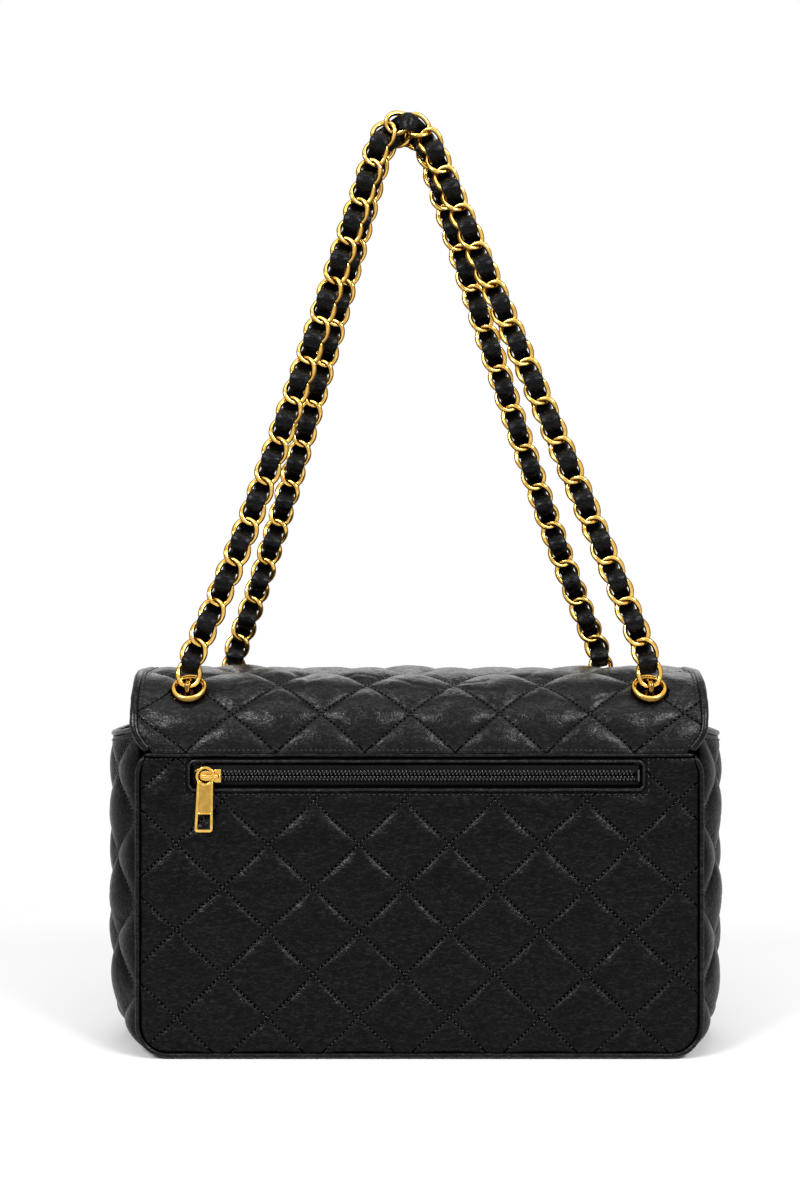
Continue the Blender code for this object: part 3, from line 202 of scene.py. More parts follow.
studio_floor()
studio_world()
soft_box("box_left", (-0.64, -0.76, 0.80), (0, 0, 0.12), (0.44, 0.34), 10)
soft_box("box_right", (0.64, -0.76, 0.80), (0, 0, 0.12), (0.44, 0.34), 10)
soft_box("box_over", (0.0, -0.30, 1.10), (0, 0, 0.12), (1.0, 0.36), 2.5)
soft_box("box_behind", (0.1, 0.95, 0.95), (0, 0, 0.15), (1.1, 0.7), 5)

# The back panel: soft black leather over thin foam and backing, quilted in diamonds with
# black thread, and sewn down along its edges and round the zip. Its seams lie in valleys.
QUILT_WIDTH = 0.0457
QUILT_HEIGHT = 0.0436
PANEL_GRID = 0.00065
PANEL_CORNER = 0.01395
PANEL_WALL = 0.0022
PILLOW_RISE = 0.0034
SEAM_WIDTH = 0.0025
SEAM_SWAY = 0.0005
DOME_REACH = 0.0158
STITCH_PITCH = 0.0024
STITCH_SHARE = 0.68
THREAD_RADIUS = 0.00032
PUCKER_PITCH = 0.0013
PUCKER_LENGTH = 0.0065
PUCKER_REACH = 0.0050
GROOVE_WIDTH = 0.0007


def drift(across, along, size, seed):
    """Smooth random swells between -1 and 1: random values on a lattice of size, or of two
    sizes, joined with eased steps both ways."""
    table = np.random.default_rng(seed).uniform(-1, 1, (256, 256))
    size_x, size_y = size if isinstance(size, tuple) else (size, size)
    x, y = across / size_x + 128, along / size_y + 128
    column, row = np.floor(x).astype(int), np.floor(y).astype(int)
    u, v = x - column, y - row
    u, v = u * u * (3 - 2 * u), v * v * (3 - 2 * v)
    column, row = column % 255, row % 255
    low = table[row, column] * (1 - u) + table[row, column + 1] * u
    high = table[row + 1, column] * (1 - u) + table[row + 1, column + 1] * u
    return low * (1 - v) + high * v


def creases(across, along, size, seed):
    """Soft leather creases: ridges where a warped swell crosses zero, 1 on a ridge."""
    bent = 0.6 * size * drift(across, along, 1.7 * size, seed + 1)
    swell = drift(across + bent, along - bent, (size, 0.6 * size), seed)
    return np.exp(-((swell / 0.16) ** 2))


def pillow(distance):
    """Height share of padding at a distance from a seam: steep at the seam, then domed."""
    steep = 1 - np.exp(-distance / SEAM_WIDTH)
    dome = np.sin(np.clip(distance / DOME_REACH, 0, 1) * math.pi / 2)
    return 0.55 * steep + 0.45 * dome


def seam_sway(across, along, seed):
    """How far the seams wander from their straight lines."""
    return SEAM_SWAY * drift(across, along, 0.03, seed)


def seam_count(across, along, quilt):
    """Two seam coordinates, one for each family of diagonals: whole numbers at its seams,
    from the sum and the difference of the steps across and along, swaying a little."""
    (middle_x, middle_z), width, height, seed = quilt
    sway = seam_sway(across, along, seed)
    u, v = (across - middle_x + sway) / width, (along - middle_z - sway) / height
    return u + v, u - v


def diamonds(across, along, quilt):
    """Quilting relief from 0 at the seams to 1: the pillow's share from both families of
    diagonal seams, with fine puckers that run square to each seam and die out from it."""
    first, second = seam_count(across, along, quilt)
    _, width, height, seed = quilt
    spacing = 1 / math.hypot(1 / width, 1 / height)
    reach = math.hypot(width, height) / 2
    share, pucker = 1.0, 0.0
    for family, (one, other) in enumerate(((first, second), (second, first))):
        side = (one - np.round(one)) * spacing
        gap = np.abs(side)
        share = share * pillow(gap)
        ripple = drift(other * reach, side, (0.0013, 0.006), seed + 10 + family)
        ripple += 0.6 * drift(other * reach, side, (0.0034, 0.012), seed + 20 + family)
        pucker = pucker + ripple * np.exp(-gap / 0.0032) * (1 - np.exp(-gap / 0.0005))
    return share, pucker


def padding(share, full, seat, hold, drop, rise=PILLOW_RISE):
    """Height of the pillows: the rise times the share times full less the seat, fading with
    hold, and lowered by drop where the leather is held down."""
    return rise * (share * full - seat) * hold - drop * (1 - hold)


def solid_from(name, points, faces, marks=None):
    """An object from an array of points and one of faces, with unused points left out, and
    with marks, two numbers a point, as its UV map."""
    used, faces = np.unique(faces, return_inverse=True)
    faces = faces.reshape(-1, 4).astype(np.int32)
    mesh = bpy.data.meshes.new(name)
    mesh.vertices.add(len(used))
    mesh.vertices.foreach_set("co", points.reshape(-1, 3)[used].astype(np.float32).ravel())
    mesh.loops.add(faces.size)
    mesh.loops.foreach_set("vertex_index", faces.ravel())
    mesh.polygons.add(len(faces))
    mesh.polygons.foreach_set("loop_start", np.arange(0, faces.size, 4, dtype=np.int32))
    mesh.polygons.foreach_set("use_smooth", np.full(len(faces), True))
    mesh.update(calc_edges=True)
    if marks is not None:
        pairs = np.stack(marks, axis=-1).reshape(-1, 2)[used][faces.ravel()]
        mesh.uv_layers.new(name="marks").uv.foreach_set("vector", pairs.astype(np.float32).ravel())
    made = bpy.data.objects.new(name, mesh)
    scene.collection.objects.link(made)
    return made


def dress(made, material, body, slot, *nodes):
    """A piece's material, its body where it has just one, and what it replaces; its slot is not used.
    """
    made.data.materials.append(material)
    if body:
        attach(made, body)
    if nodes:
        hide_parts(*nodes)
    return made


def cells(rows, columns, around=False, looped=False):
    """The four corners of each cell of a grid, rows by columns; around joins the last
    column to the first, and looped the last row to the first."""
    index = np.arange(rows * columns).reshape(rows, columns)
    if around:
        index = np.hstack([index, index[:, :1]])
    if looped:
        index = np.vstack([index, index[:1]])
    corners = [index[:-1, :-1], index[:-1, 1:], index[1:, 1:], index[1:, :-1]]
    return np.stack(corners, axis=-1).reshape(-1, 4)


def end_caps(count, sides):
    """Quads that close the first and the last ring of a tube."""
    last = np.array([[n, n + 1, sides - 2 - n, sides - 1 - n] for n in range(sides // 2 - 1)])
    return np.vstack([last[:, ::-1], last + (count - 1) * sides])


def tube(count, sides):
    """The faces of a tube of count rings, closed at both ends."""
    return np.vstack([cells(count, sides, around=True), end_caps(count, sides)])


def copies(faces, size, count):
    """The faces of count copies of a shape of size points, one after another."""
    shift = np.arange(count) * size
    return (faces[None] + shift[:, None, None]).reshape(-1, 4)


def unit(vectors):
    """Vectors of length one."""
    return vectors / np.maximum(np.linalg.norm(vectors, axis=-1, keepdims=True), 1e-12)


def steps(*stops, pitch):
    """Values through the given stops, each stretch in equal steps of about the pitch."""
    runs = []
    for low, high in zip(stops[:-1], stops[1:]):
        runs.append(np.linspace(low, high, max(2, round(abs(high - low) / pitch) + 1))[:-1])
    return np.concatenate([*runs, [stops[-1]]])


def outward(shape, across, along):
    """Outward normals of a surface: the cross product of its slopes both ways."""
    reach = 0.0002
    sideways = shape(across + reach, along) - shape(across - reach, along)
    upwards = shape(across, along + reach) - shape(across, along - reach)
    return unit(np.cross(sideways, upwards))


def leather_skin(name, shape, relief, across, along, wall, keep=None, quilt=None):
    """Leather over padding: a flat pattern carried onto its shape, raised along the shape's
    normals by the relief, and thickened inwards by its wall. A quilt leaves its marks."""
    marks = seam_count(across, along, quilt) if quilt else None
    points = shape(across, along) + outward(shape, across, along) * relief(across, along)[..., None]
    faces = cells(*across.shape)
    made = solid_from(name, points, faces if keep is None else faces[keep.ravel()], marks)
    backing = made.modifiers.new("wall", "SOLIDIFY")
    backing.thickness = wall
    backing.offset = -1
    return made


def run_lengths(line):
    """Distance along a line of points, from its start to each point."""
    return np.concatenate([[0], np.cumsum(np.linalg.norm(np.diff(line, axis=0), axis=1))])


def stitch_row(shape, relief, line, pitch=STITCH_PITCH):
    """Stitches along a line of the flat pattern: for each, its middle, its run and the
    outward way, at the depth of the relief."""
    lengths = run_lengths(line)
    count = max(int(lengths[-1] / pitch), 1)
    middles = (np.arange(count) + 0.5) * lengths[-1] / count
    middles = middles + np.random.default_rng(5).uniform(-0.06, 0.06, count) * pitch
    ends = []
    for offset in (-STITCH_SHARE / 2, STITCH_SHARE / 2):
        at = np.clip(middles + offset * pitch, 0, lengths[-1])
        across, along = np.interp(at, lengths, line[:, 0]), np.interp(at, lengths, line[:, 1])
        out = outward(shape, across, along)
        ends.append(shape(across, along) + out * relief(across, along)[..., None])
    return (ends[0] + ends[1]) / 2, ends[1] - ends[0], out


def sew(name, rows, body):
    """Thread stitches: each a small closed grain, bulged and sunk at its ends."""
    middle = np.concatenate([row[0] for row in rows])
    run = np.concatenate([row[1] for row in rows])
    out = np.concatenate([row[2] for row in rows])
    side = unit(np.cross(out, run))
    along = np.array([-0.5, -0.46, -0.2, 0.2, 0.46, 0.5])
    girth = np.array([0.1, 0.72, 1.0, 1.0, 0.72, 0.1])
    sink = np.array([-1.2, -0.5, 0.75, 0.75, -0.5, -1.2])
    turns = full_turn(6)
    ring_side, ring_out = np.cos(turns), np.sin(turns)
    points = (
        middle[:, None, None]
        + run[:, None, None] * along[None, :, None, None]
        + side[:, None, None] * (THREAD_RADIUS * girth[:, None] * ring_side)[None, :, :, None]
        + out[:, None, None] * (THREAD_RADIUS * (girth[:, None] * ring_out + sink[:, None]))[..., None]
    )
    caps = np.array([[3, 2, 1, 0], [5, 4, 3, 0]])
    last = (len(along) - 1) * len(turns)
    each = np.vstack([cells(len(along), len(turns), around=True), caps, caps[:, ::-1] + last])
    faces = copies(each, len(along) * len(turns), len(middle))
    return dress(solid_from(name, points, faces), thread, body, "black_leather")


def soft_leather(name, tone=0.0016, shine=0.28, gloss=0.12, grain=1.0, wrinkle=1.0, seams=None):
    """Black leather: a pebbled grain under a satin finish, soft creases, and a tone that
    wanders. With seams, the width and height of the quilting's diamonds, it sinks along
    each stitched seam and gathers into fine puckers square to it."""
    leather = Recipe(bpy.data.materials.new(name))
    at = leather.place()
    mottle = leather.noise(at, 42.0, 4.0, 0.6)
    pebble = leather.add("TexVoronoi", {"Vector": at, "Scale": 1150.0}, feature="SMOOTH_F1")
    pore = leather.noise(at, 2300.0)
    fold = leather.noise(at, 210.0, 3.0, 0.55, 0.8)
    drawn = leather.add("VectorMath", {0: at, 1: (1.0, 2.0, 3.0)}, operation="MULTIPLY")
    fibre = leather.noise(drawn.outputs[0], 260.0, 5.0, 0.7, 1.4)
    sheen = leather.spread(fibre, 0.45, 0.68, 0.65 * gloss, 2.0 * gloss)
    dark, light = (np.array([1, 1, 1.03]) * level * tone for level in (0.62, 1.5))
    tint = leather.ramp(mottle, 0.3, dark, 0.75, light)
    rough = leather.spread(mottle, 0.3, 0.7, shine + 0.06, shine - 0.05)
    crinkle = leather.noise(at, 760.0, distortion=0.6)
    height = leather.sum(
        leather.times(pebble.outputs["Distance"], 0.35 * grain),
        leather.times(pore, 0.15 * grain),
    )
    height = leather.sum(height, leather.times(crinkle, 1.1 * grain))
    soft = leather.bump(0.5 * wrinkle, 0.0003, fold, leather.bump(0.7, 0.00024, height))
    if seams:
        spacing, reach = 1 / math.hypot(1 / seams[0], 1 / seams[1]), math.hypot(*seams) / 2
        count = leather.marks()
        sides = []
        for one, other in (("X", "Y"), ("Y", "X")):
            apart = leather.times(leather.sum(count[one], 0.5, "PINGPONG"), spacing)
            along = leather.times(count[other], reach / PUCKER_PITCH)
            away = leather.times(count[one], spacing / PUCKER_LENGTH)
            ripple = leather.noise(leather.add("CombineXYZ", {0: along, 1: away}).outputs[0], 1.0)
            near = leather.spread(apart, 0.0002, PUCKER_REACH, 1.0, 0.0)
            groove = leather.spread(apart, 0.0, GROOVE_WIDTH)
            sides.append((leather.times(ripple, near), groove))
        gathered = leather.sum(sides[0][0], sides[1][0])
        sunk = leather.sum(sides[0][1], sides[1][1], "MINIMUM")
        soft = leather.bump(1.0, 0.0005, sunk, leather.bump(0.8, 0.0003, gathered, soft))
        rough = leather.sum(rough, leather.spread(sunk, 0.0, 1.0, 0.45, 0.0))
        sheen = leather.times(sheen, leather.spread(sunk, 0.0, 1.0, 0.15, 1.0))
        # Painted shade: the colour darkens to a tenth in the seam grooves.
        shade = leather.spread(sunk, 0.0, 1.0, 0.1, 1.0)
        tint = leather.add("HueSaturation", {"Value": shade, "Color": tint}).outputs[0]
    leather.set(base_color=tint, roughness=rough, normal=soft, specular_ior_level=sheen)
    return leather.holder


def twisted_thread(name):
    """Waxed black thread with a fine twist."""
    waxed = Recipe(bpy.data.materials.new(name))
    twist = waxed.add("TexWave", {"Vector": waxed.place(), "Scale": 900.0, "Distortion": 2.0})
    twist = twist.outputs["Fac"]
    tone = waxed.ramp(twist, 0.0, (0.004, 0.004, 0.004), 1.0, (0.016, 0.016, 0.016))
    waxed.set(base_color=tone, roughness=0.34, normal=waxed.bump(0.4, 0.0001, twist))
    waxed.set(specular_ior_level=0.4)
    return waxed.holder


body_leather = soft_leather("body_leather", seams=(QUILT_WIDTH, QUILT_HEIGHT))
# The sides' leather is the body's leather with a lighter tone: painted light on the gussets.
side_leather = soft_leather("side_leather", tone=0.003, gloss=0.05, seams=(QUILT_WIDTH, QUILT_HEIGHT))
trim_leather = soft_leather("trim_leather", shine=0.26, gloss=0.19, grain=0.5, wrinkle=0.5)
thread = twisted_thread("black_thread")

back_low, back_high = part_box("back_panel")
PANEL_HALF_WIDTH = back_high.x
PANEL_FACE = back_low.y + 0.0010
QUILT_MIDDLE = 0.0853
BACK_QUILT = ((-0.0076, QUILT_MIDDLE), QUILT_WIDTH, QUILT_HEIGHT, 3)
frame_low, frame_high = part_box("zip_frame")
ZIP_SEAM = 0.0021
ZIP_STITCH = 0.003
ZIP_CUT = 0.0004
TOP_SEAM = 0.0009


def foot_width(height, low, half_width, corner):
    """Half width of a panel with round bottom corners, at a height."""
    drop = np.clip(corner - (height - low), 0, corner)
    return half_width - corner + np.sqrt(np.maximum(corner**2 - drop**2, 0))


def panel_edge(across, along, low, high):
    """Distance inwards from a panel's edges."""
    beside = foot_width(along, low.z, PANEL_HALF_WIDTH, PANEL_CORNER) - np.abs(across)
    return np.minimum.reduce([beside, along - low.z, high.z - along])


def footed_grid(half_width, low, stops, corner, count, pitch, breaks=()):
    """A panel's flat grid, with round corners of count rows at its foot and columns at the
    breaks; with its columns and rows."""
    foot = low + corner * (1 - np.cos(np.linspace(0, math.pi / 2, count)))
    rows = np.concatenate([foot[:-1], steps(foot[-1], *stops, pitch=pitch)])
    columns = steps(-half_width, *breaks, half_width, pitch=pitch)
    along = np.repeat(rows[:, None], len(columns), axis=1)
    across = columns / half_width * foot_width(along, low, half_width, corner)
    return across, along, columns, rows


def xyz(x, y, z):
    """Points from three arrays, any of which may be a single number."""
    return np.stack(np.broadcast_arrays(x, y, z), axis=-1)


def back_shape(across, along):
    """The flat back."""
    return xyz(across, PANEL_FACE, along)


def frame_gap(across, along):
    """Distance outside the stitched rectangle round the zip, negative within it."""
    beside = np.maximum(frame_low.x - ZIP_SEAM - across, across - frame_high.x - ZIP_SEAM)
    below = frame_low.z - ZIP_SEAM - along
    return np.where((beside > 0) & (below > 0), np.hypot(beside, below), np.maximum(beside, below))


def back_relief(across, along):
    """Diamond pillows, held down by the panel's edges and by the seam round the zip."""
    share, pucker = diamonds(across, along, BACK_QUILT)
    edge = panel_edge(across, along, back_low, back_high)
    outside = frame_gap(across, along)
    hold = pillow(np.maximum(edge, 0)) * np.where(outside > 0, pillow(outside), 0.10)
    swell = 0.10 * drift(across, along, 0.035, 7) + 0.05 * drift(across, along, 0.012, 8)
    wrinkled = 0.00016 * pucker - 0.00007 * creases(across, along, 0.016, 30)
    return padding(share, 0.95 + swell, 0.42, hold, 0.0006) + wrinkled * np.minimum(hold * 1.5, 1)


cut_left, cut_right = frame_low.x + ZIP_CUT, frame_high.x - ZIP_CUT
cut_low, cut_high = frame_low.z + ZIP_CUT, frame_high.z - ZIP_CUT
stops, breaks = (cut_low, cut_high, back_high.z), (cut_left, cut_right)
across, along, columns, rows = footed_grid(
    PANEL_HALF_WIDTH, back_low.z, stops, PANEL_CORNER, 20, PANEL_GRID, breaks
)
middle_x, middle_z = (columns[:-1] + columns[1:]) / 2, (rows[:-1] + rows[1:]) / 2
in_x = (middle_x > cut_left) & (middle_x < cut_right)
in_z = (middle_z > cut_low) & (middle_z < cut_high)
kept = ~(in_z[:, None] & in_x[None])
grid = across, along
back = leather_skin("back_quilting", back_shape, back_relief, *grid, PANEL_WALL, kept, BACK_QUILT)
dress(back, body_leather, "bag", "black_leather", "back_panel")


def quilt_rows(shape, relief, quilt, low, high, inside, half):
    """The quilting's rows of stitches: both families of diagonals across a rectangle of the
    flat pattern, with their sway, cut to the stretches that lie inside the piece."""
    centre, width, height, seed = quilt
    rows = []
    reach = int((high[0] - low[0]) / width + (high[1] - low[1]) / height) + 2
    for slope in (1, -1):
        for number in range(-reach, reach + 1):
            rise = np.arange(low[1], high[1], 0.0004)
            run = centre[0] + width * (number - slope * (rise - centre[1]) / height)
            for _ in range(4):
                sway = seam_sway(run, rise, seed)
                run = centre[0] - sway + width * (number - slope * (rise - centre[1] - sway) / height)
            fits = inside(run, rise, half)
            starts = np.nonzero(np.diff(np.concatenate([[0], fits.astype(int), [0]])))[0]
            for start, end in zip(starts[::2], starts[1::2]):
                if end - start > 8:
                    line = np.stack([run[start:end], rise[start:end]], axis=1)
                    rows.append(stitch_row(shape, relief, line))
    return rows


def in_back(across, along, half):
    """Whether a place is on the back, clear of its edges and of the zip's seam."""
    on = panel_edge(across, along, back_low, back_high) > half
    return on & (frame_gap(across, along) > half / 2)


low, high = (-PANEL_HALF_WIDTH, back_low.z), (PANEL_HALF_WIDTH, back_high.z)
back_rows = quilt_rows(back_shape, back_relief, BACK_QUILT, low, high, in_back, 0.0014)
seam_left, seam_right = frame_low.x - ZIP_SEAM, frame_high.x + ZIP_SEAM
seam_low, seam_z = frame_low.z - ZIP_SEAM, back_high.z - TOP_SEAM
round_zip = [(seam_left, seam_z), (seam_left, seam_low), (seam_right, seam_low), (seam_right, seam_z)]
round_zip = np.array(round_zip)
back_rows += [stitch_row(back_shape, back_relief, round_zip[n : n + 2], ZIP_STITCH) for n in range(3)]
top_line = np.array([(-PANEL_HALF_WIDTH + 0.002, seam_z), (PANEL_HALF_WIDTH - 0.002, seam_z)])
back_rows.append(stitch_row(back_shape, back_relief, top_line))
sew("back_stitches", back_rows, "bag")

# The flap: one quilted leather piece, sewn on at the back seam, that goes over the mouth
# of the bag and hangs down the front. It bends where the crown turns into the front.
FLAP_QUILT = ((0.0182, -0.0005), 0.0449, 0.0420, 43)
FLAP_GRID = 0.0009
FLAP_ROUND = 0.039
FLAP_CORNER = 0.030
FLAP_SPREAD = 0.0045
FLAP_SPREAD_RUN = 0.018
FLAP_TOP_SPREAD = 0.0020
FLAP_SAG, FLAP_END_DROP = 0.0011, 0.0003
FLAP_TUCK, FLAP_TUCK_RISE = 0.0010, 0.0014
EDGE_SEAM = 0.0020
FLAP_FOOT_SEAM = 0.0009
SEAM_DRAW = 0.0040
SEAM_DRAW_RUN = 0.013
FLAP_WALL = 0.0022
FLAP_FACE_DROP = 0.0008
EYELET_ANGLE = math.radians(49)
EYELET_REAR = 0.117
EYELET_FRONT = 0.103
EYELET_SEAT = 0.0105
EYELET_HOLE = 0.0071

crown_low, crown_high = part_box("flap_crown")
front_low, front_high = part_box("flap_front")
FLAP_HALF_WIDTH = crown_high.x
back_round = crown_low.y + FLAP_ROUND
front_round = front_high.y - FLAP_ROUND
round_z = crown_high.z - FLAP_ROUND
foot_run = round_z - crown_low.z
quarter = FLAP_ROUND * math.pi / 2
front_start = foot_run + quarter + (front_round - back_round) + quarter
flap_length = front_start + round_z - front_low.z


def over_bag(along):
    """The flap's run from the back seam: up, round the back, over, round and down the
    front, as Y, Z and the share by which it faces up."""
    turn_back = np.clip((along - foot_run) / FLAP_ROUND, 0, math.pi / 2)
    flat = np.clip(along - foot_run - quarter, 0, front_round - back_round)
    turn_front = np.clip((along - front_start + quarter) / FLAP_ROUND, 0, math.pi / 2)
    turn = turn_back + turn_front
    centre_y = back_round + flat
    centre_z = round_z + np.minimum(along - foot_run, 0) - np.maximum(along - front_start, 0)
    radius, up = FLAP_ROUND - FLAP_FACE_DROP, np.sin(turn)
    return centre_y - radius * np.cos(turn), centre_z + radius * up, up


def flap_shape(across, along):
    """The flap's face, carried over the bag, sagging a little between its sides on top, and
    spread at its edges from just above the seam."""
    y, z, up = over_bag(along)
    top = np.maximum(up, 0) ** 2
    sag = FLAP_SAG * top * np.clip(1 - (across / FLAP_HALF_WIDTH) ** 2, 0, 1)
    ends = FLAP_END_DROP * np.clip((np.abs(across) - 0.128) / 0.010, 0, 1) ** 2 * top
    share = np.clip(np.abs(across) / FLAP_HALF_WIDTH, 0, 1) ** 6
    risen = np.clip(along / FLAP_SPREAD_RUN, 0, 1)
    spread = (FLAP_SPREAD * risen * (2 - risen) + FLAP_TOP_SPREAD * top) * share
    return xyz(across + np.sign(across) * spread, y, z - sag - ends)


def flap_width(along):
    """Half width of the flap, with round corners at its foot, and drawn in at the seam."""
    left = flap_length - along
    drawn = SEAM_DRAW * np.clip(1 - along / SEAM_DRAW_RUN, 0, 1) ** 2
    return foot_width(left, 0, FLAP_HALF_WIDTH, FLAP_CORNER) - drawn


def eyelet_distance(across, along):
    """Distance from the nearest eyelet's middle along the leather."""
    rear = foot_run + FLAP_ROUND * EYELET_ANGLE
    ahead = front_start - FLAP_ROUND * EYELET_ANGLE
    rear_gap = np.hypot(np.abs(across) - EYELET_REAR, along - rear)
    return np.minimum(rear_gap, np.hypot(np.abs(across) - EYELET_FRONT, along - ahead))


def flap_relief(across, along):
    """Softer diamond pillows than the back's, with broad creases where the flap turns."""
    share, pucker = diamonds(across, along, FLAP_QUILT)
    edge = np.minimum(flap_width(along) - np.abs(across), flap_length - along)
    edge = np.minimum(edge - 0.0008, along + 0.001)
    clear = np.maximum(eyelet_distance(across, along) - EYELET_SEAT, 0)
    hold = pillow(np.maximum(edge, 0)) * (0.35 + 0.65 * pillow(clear))
    over = np.exp(-(((along - 0.055) / 0.055) ** 2))
    swell = 0.20 * drift(across, along, 0.026, 47) + 0.10 * drift(across, along, 0.010, 48)
    crease = creases(across, along, 0.022, 50) + 0.6 * creases(along, across, 0.013, 53)
    lifted = FLAP_TUCK_RISE * np.exp(-(along + FLAP_TUCK) / 0.004)
    wrinkled = 0.00020 * pucker - (0.00010 + 0.00022 * over) * crease
    height = padding(share, 0.95 + swell * (0.6 + over), 0.36, hold, 0.0005) + lifted
    return height + wrinkled * np.minimum(hold * 1.5, 1)


def flap_grid(start, pitch):
    """The flap's flat grid from its start, and which of its cells lie clear of the eyelets."""
    columns = steps(-FLAP_HALF_WIDTH, FLAP_HALF_WIDTH, pitch=pitch)
    foot_rows = flap_length - FLAP_CORNER * (1 - np.cos(np.linspace(math.pi / 2, 0, 30)))
    rows = np.concatenate([steps(start, foot_rows[0], pitch=pitch)[:-1], foot_rows])
    along = np.repeat(rows[:, None], len(columns), axis=1)
    across = columns[None] / FLAP_HALF_WIDTH * flap_width(along)
    middle_t = (along[:-1, :-1] + along[1:, 1:]) / 2
    middle_x = (across[:-1, :-1] + across[1:, 1:]) / 2
    return across, along, eyelet_distance(middle_x, middle_t) > EYELET_HOLE


*grid, kept = flap_grid(-FLAP_TUCK, FLAP_GRID)
flap = leather_skin("flap_quilting", flap_shape, flap_relief, *grid, FLAP_WALL, kept, FLAP_QUILT)
# The flap's leather is the body's leather with a lighter tone: painted light on the flap.
flap_leather = soft_leather("flap_leather", 0.004, 0.29, 0.17, wrinkle=1.5, seams=FLAP_QUILT[1:3])
dress(flap, flap_leather, None, "black_leather", "flap_crown", "flap_front")
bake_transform(flap)


def in_flap(across, along, half):
    """Whether a place is on the flap, clear of its edge seam and eyelets."""
    on = (np.abs(across) < flap_width(along) - half) & (along < flap_length - half)
    return on & (eyelet_distance(across, along) > EYELET_SEAT)


low, high = (-FLAP_HALF_WIDTH, 0.003), (FLAP_HALF_WIDTH, flap_length)
flap_rows = quilt_rows(flap_shape, flap_relief, FLAP_QUILT, low, high, in_flap, 0.0026)
edge_turns = np.linspace(0, math.pi / 2, 24)
corner_x = FLAP_HALF_WIDTH - FLAP_CORNER + (FLAP_CORNER - EDGE_SEAM) * np.cos(edge_turns)
corner_t = flap_length - FLAP_CORNER + (FLAP_CORNER - EDGE_SEAM) * np.sin(edge_turns)
side_t = np.arange(0.002, flap_length - FLAP_CORNER, 0.002)
side_x = flap_width(side_t) - EDGE_SEAM
right_edge = np.column_stack([np.r_[side_x, corner_x], np.r_[side_t, corner_t]])
left_edge = right_edge[::-1] * [-1, 1]
flap_rows.append(stitch_row(flap_shape, flap_relief, np.vstack([right_edge, left_edge])))
seam_x, seam_t = flap_width(FLAP_FOOT_SEAM) - EDGE_SEAM, FLAP_FOOT_SEAM
seam_row = np.array([(-seam_x, seam_t), (seam_x, seam_t)])
flap_rows.append(stitch_row(flap_shape, flap_relief, seam_row))
flap_thread = sew("flap_stitches", flap_rows, None)
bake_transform(flap_thread)

# The straps: brass wire bent into twisted curb links, plated gold and polished. Each
# strap runs up from one eyelet, over the shoulder and down to the other, and under the
# flap a short run of the same chain joins the back strap's eyelet to the front strap's.
LINK_PITCH = 0.0112
LINK_HALF_LENGTH = 0.0068
LINK_HALF_WIDTH = 0.0056
LINK_TWIST = 0.0014
HOOK_HALF_WIDTH = 0.0037
WIRE_RADIUS = 0.00134
WIRE_SIDES = 10
WIRE_STEPS = 32
FIRST_BEARING = 0.001125
APEX_X = -0.0075
APEX_RADIUS = 0.013
STRAP_HALF_GAP = 0.0053
AXIS_LIFT = 0.002
LEG_SETTLE = 0.070
STRAPS = {
    "rear": dict(facing=-1, spacing=EYELET_REAR, apex=0.484, left=0.47, right=0.37),
    "front": dict(facing=1, spacing=EYELET_FRONT, apex=0.481, left=0.39, right=0.44),
}
INNER_SLACK = 1.24


def resample(line, at):
    """Points of a line at given distances along it."""
    lengths = run_lengths(line)
    return np.stack([np.interp(at, lengths, column) for column in line.T], axis=1)


def bearings(line, count):
    """Points on a line with count equal straight steps between them, found by spreading
    the points anew over the chords that they make."""
    at = np.linspace(0, run_lengths(line)[-1], count + 1)
    for _ in range(12):
        chords = run_lengths(resample(line, at))
        at = np.interp(np.linspace(0, chords[-1], count + 1), chords, at)
    return resample(line, at)


def strap_leg(foot, top, lean):
    """A leg of a strap in its own plane, which leans by lean at its foot and settles to a
    steady slope; with the turn at which it meets the bend."""
    rise, reach = top[1] - foot[1], abs(top[0] - foot[0])
    eased = LEG_SETTLE * (1 - math.exp(-rise / LEG_SETTLE))
    slope = (reach - lean * eased) / (rise - eased)
    heights = np.linspace(0, rise, 200)
    settled = LEG_SETTLE * (1 - np.exp(-heights / LEG_SETTLE))
    run = slope * heights + (lean - slope) * settled
    inward = math.copysign(1, top[0] - foot[0])
    return np.column_stack([foot[0] + inward * run, foot[1] + heights]), math.atan(slope)


def strap_bearings(spacing, rise, left_lean, right_lean):
    """Where the links bear on each other, in the strap's plane, from the left eyelet over
    a round bend to the right one."""
    first, second = FIRST_BEARING, FIRST_BEARING + LINK_PITCH
    centre = np.array([APEX_X, rise - APEX_RADIUS])
    turns = [math.atan((left_lean + right_lean) / 2)] * 2
    for _ in range(40):
        legs = []
        for number, (side, lean) in enumerate(((-1, left_lean), (1, right_lean))):
            way = np.array([side * math.cos(turns[number]), math.sin(turns[number])])
            leg, turns[number] = strap_leg((side * spacing, second), centre + APEX_RADIUS * way, lean)
            legs.append(leg)
    bend = np.linspace(math.pi - turns[0], turns[1], 200)[1:-1]
    bend = centre + APEX_RADIUS * np.column_stack([np.cos(bend), np.sin(bend)])
    line = np.vstack([legs[0], bend, legs[1][::-1]])
    count = 2 * round(run_lengths(line)[-1] / LINK_PITCH / 2)
    ends = [np.array([[side * spacing, first]]) for side in (-1, 1)]
    return np.vstack([ends[0], bearings(line, count), ends[1]])


def curb_link():
    """A curb link's middle line: an oval whose height is minus the sine of twice the turn,
    so that its ends lie across the next links' ends."""
    turn = full_turn(WIRE_STEPS)
    flat = LINK_HALF_LENGTH * np.cos(turn), LINK_HALF_WIDTH * np.sin(turn)
    return np.column_stack([*flat, -LINK_TWIST * np.sin(2 * turn)])


def end_link(inward):
    """The link at an eyelet: twisted on one half and flat on the half that turns there."""
    line = curb_link()
    line[:, 2] *= np.clip(0.5 + inward * line[:, 0] / LINK_HALF_LENGTH, 0, 1)
    return line


def softened(wave, power):
    """A wave with its signs kept and its sizes raised to a power."""
    return np.sign(wave) * np.abs(wave) ** power


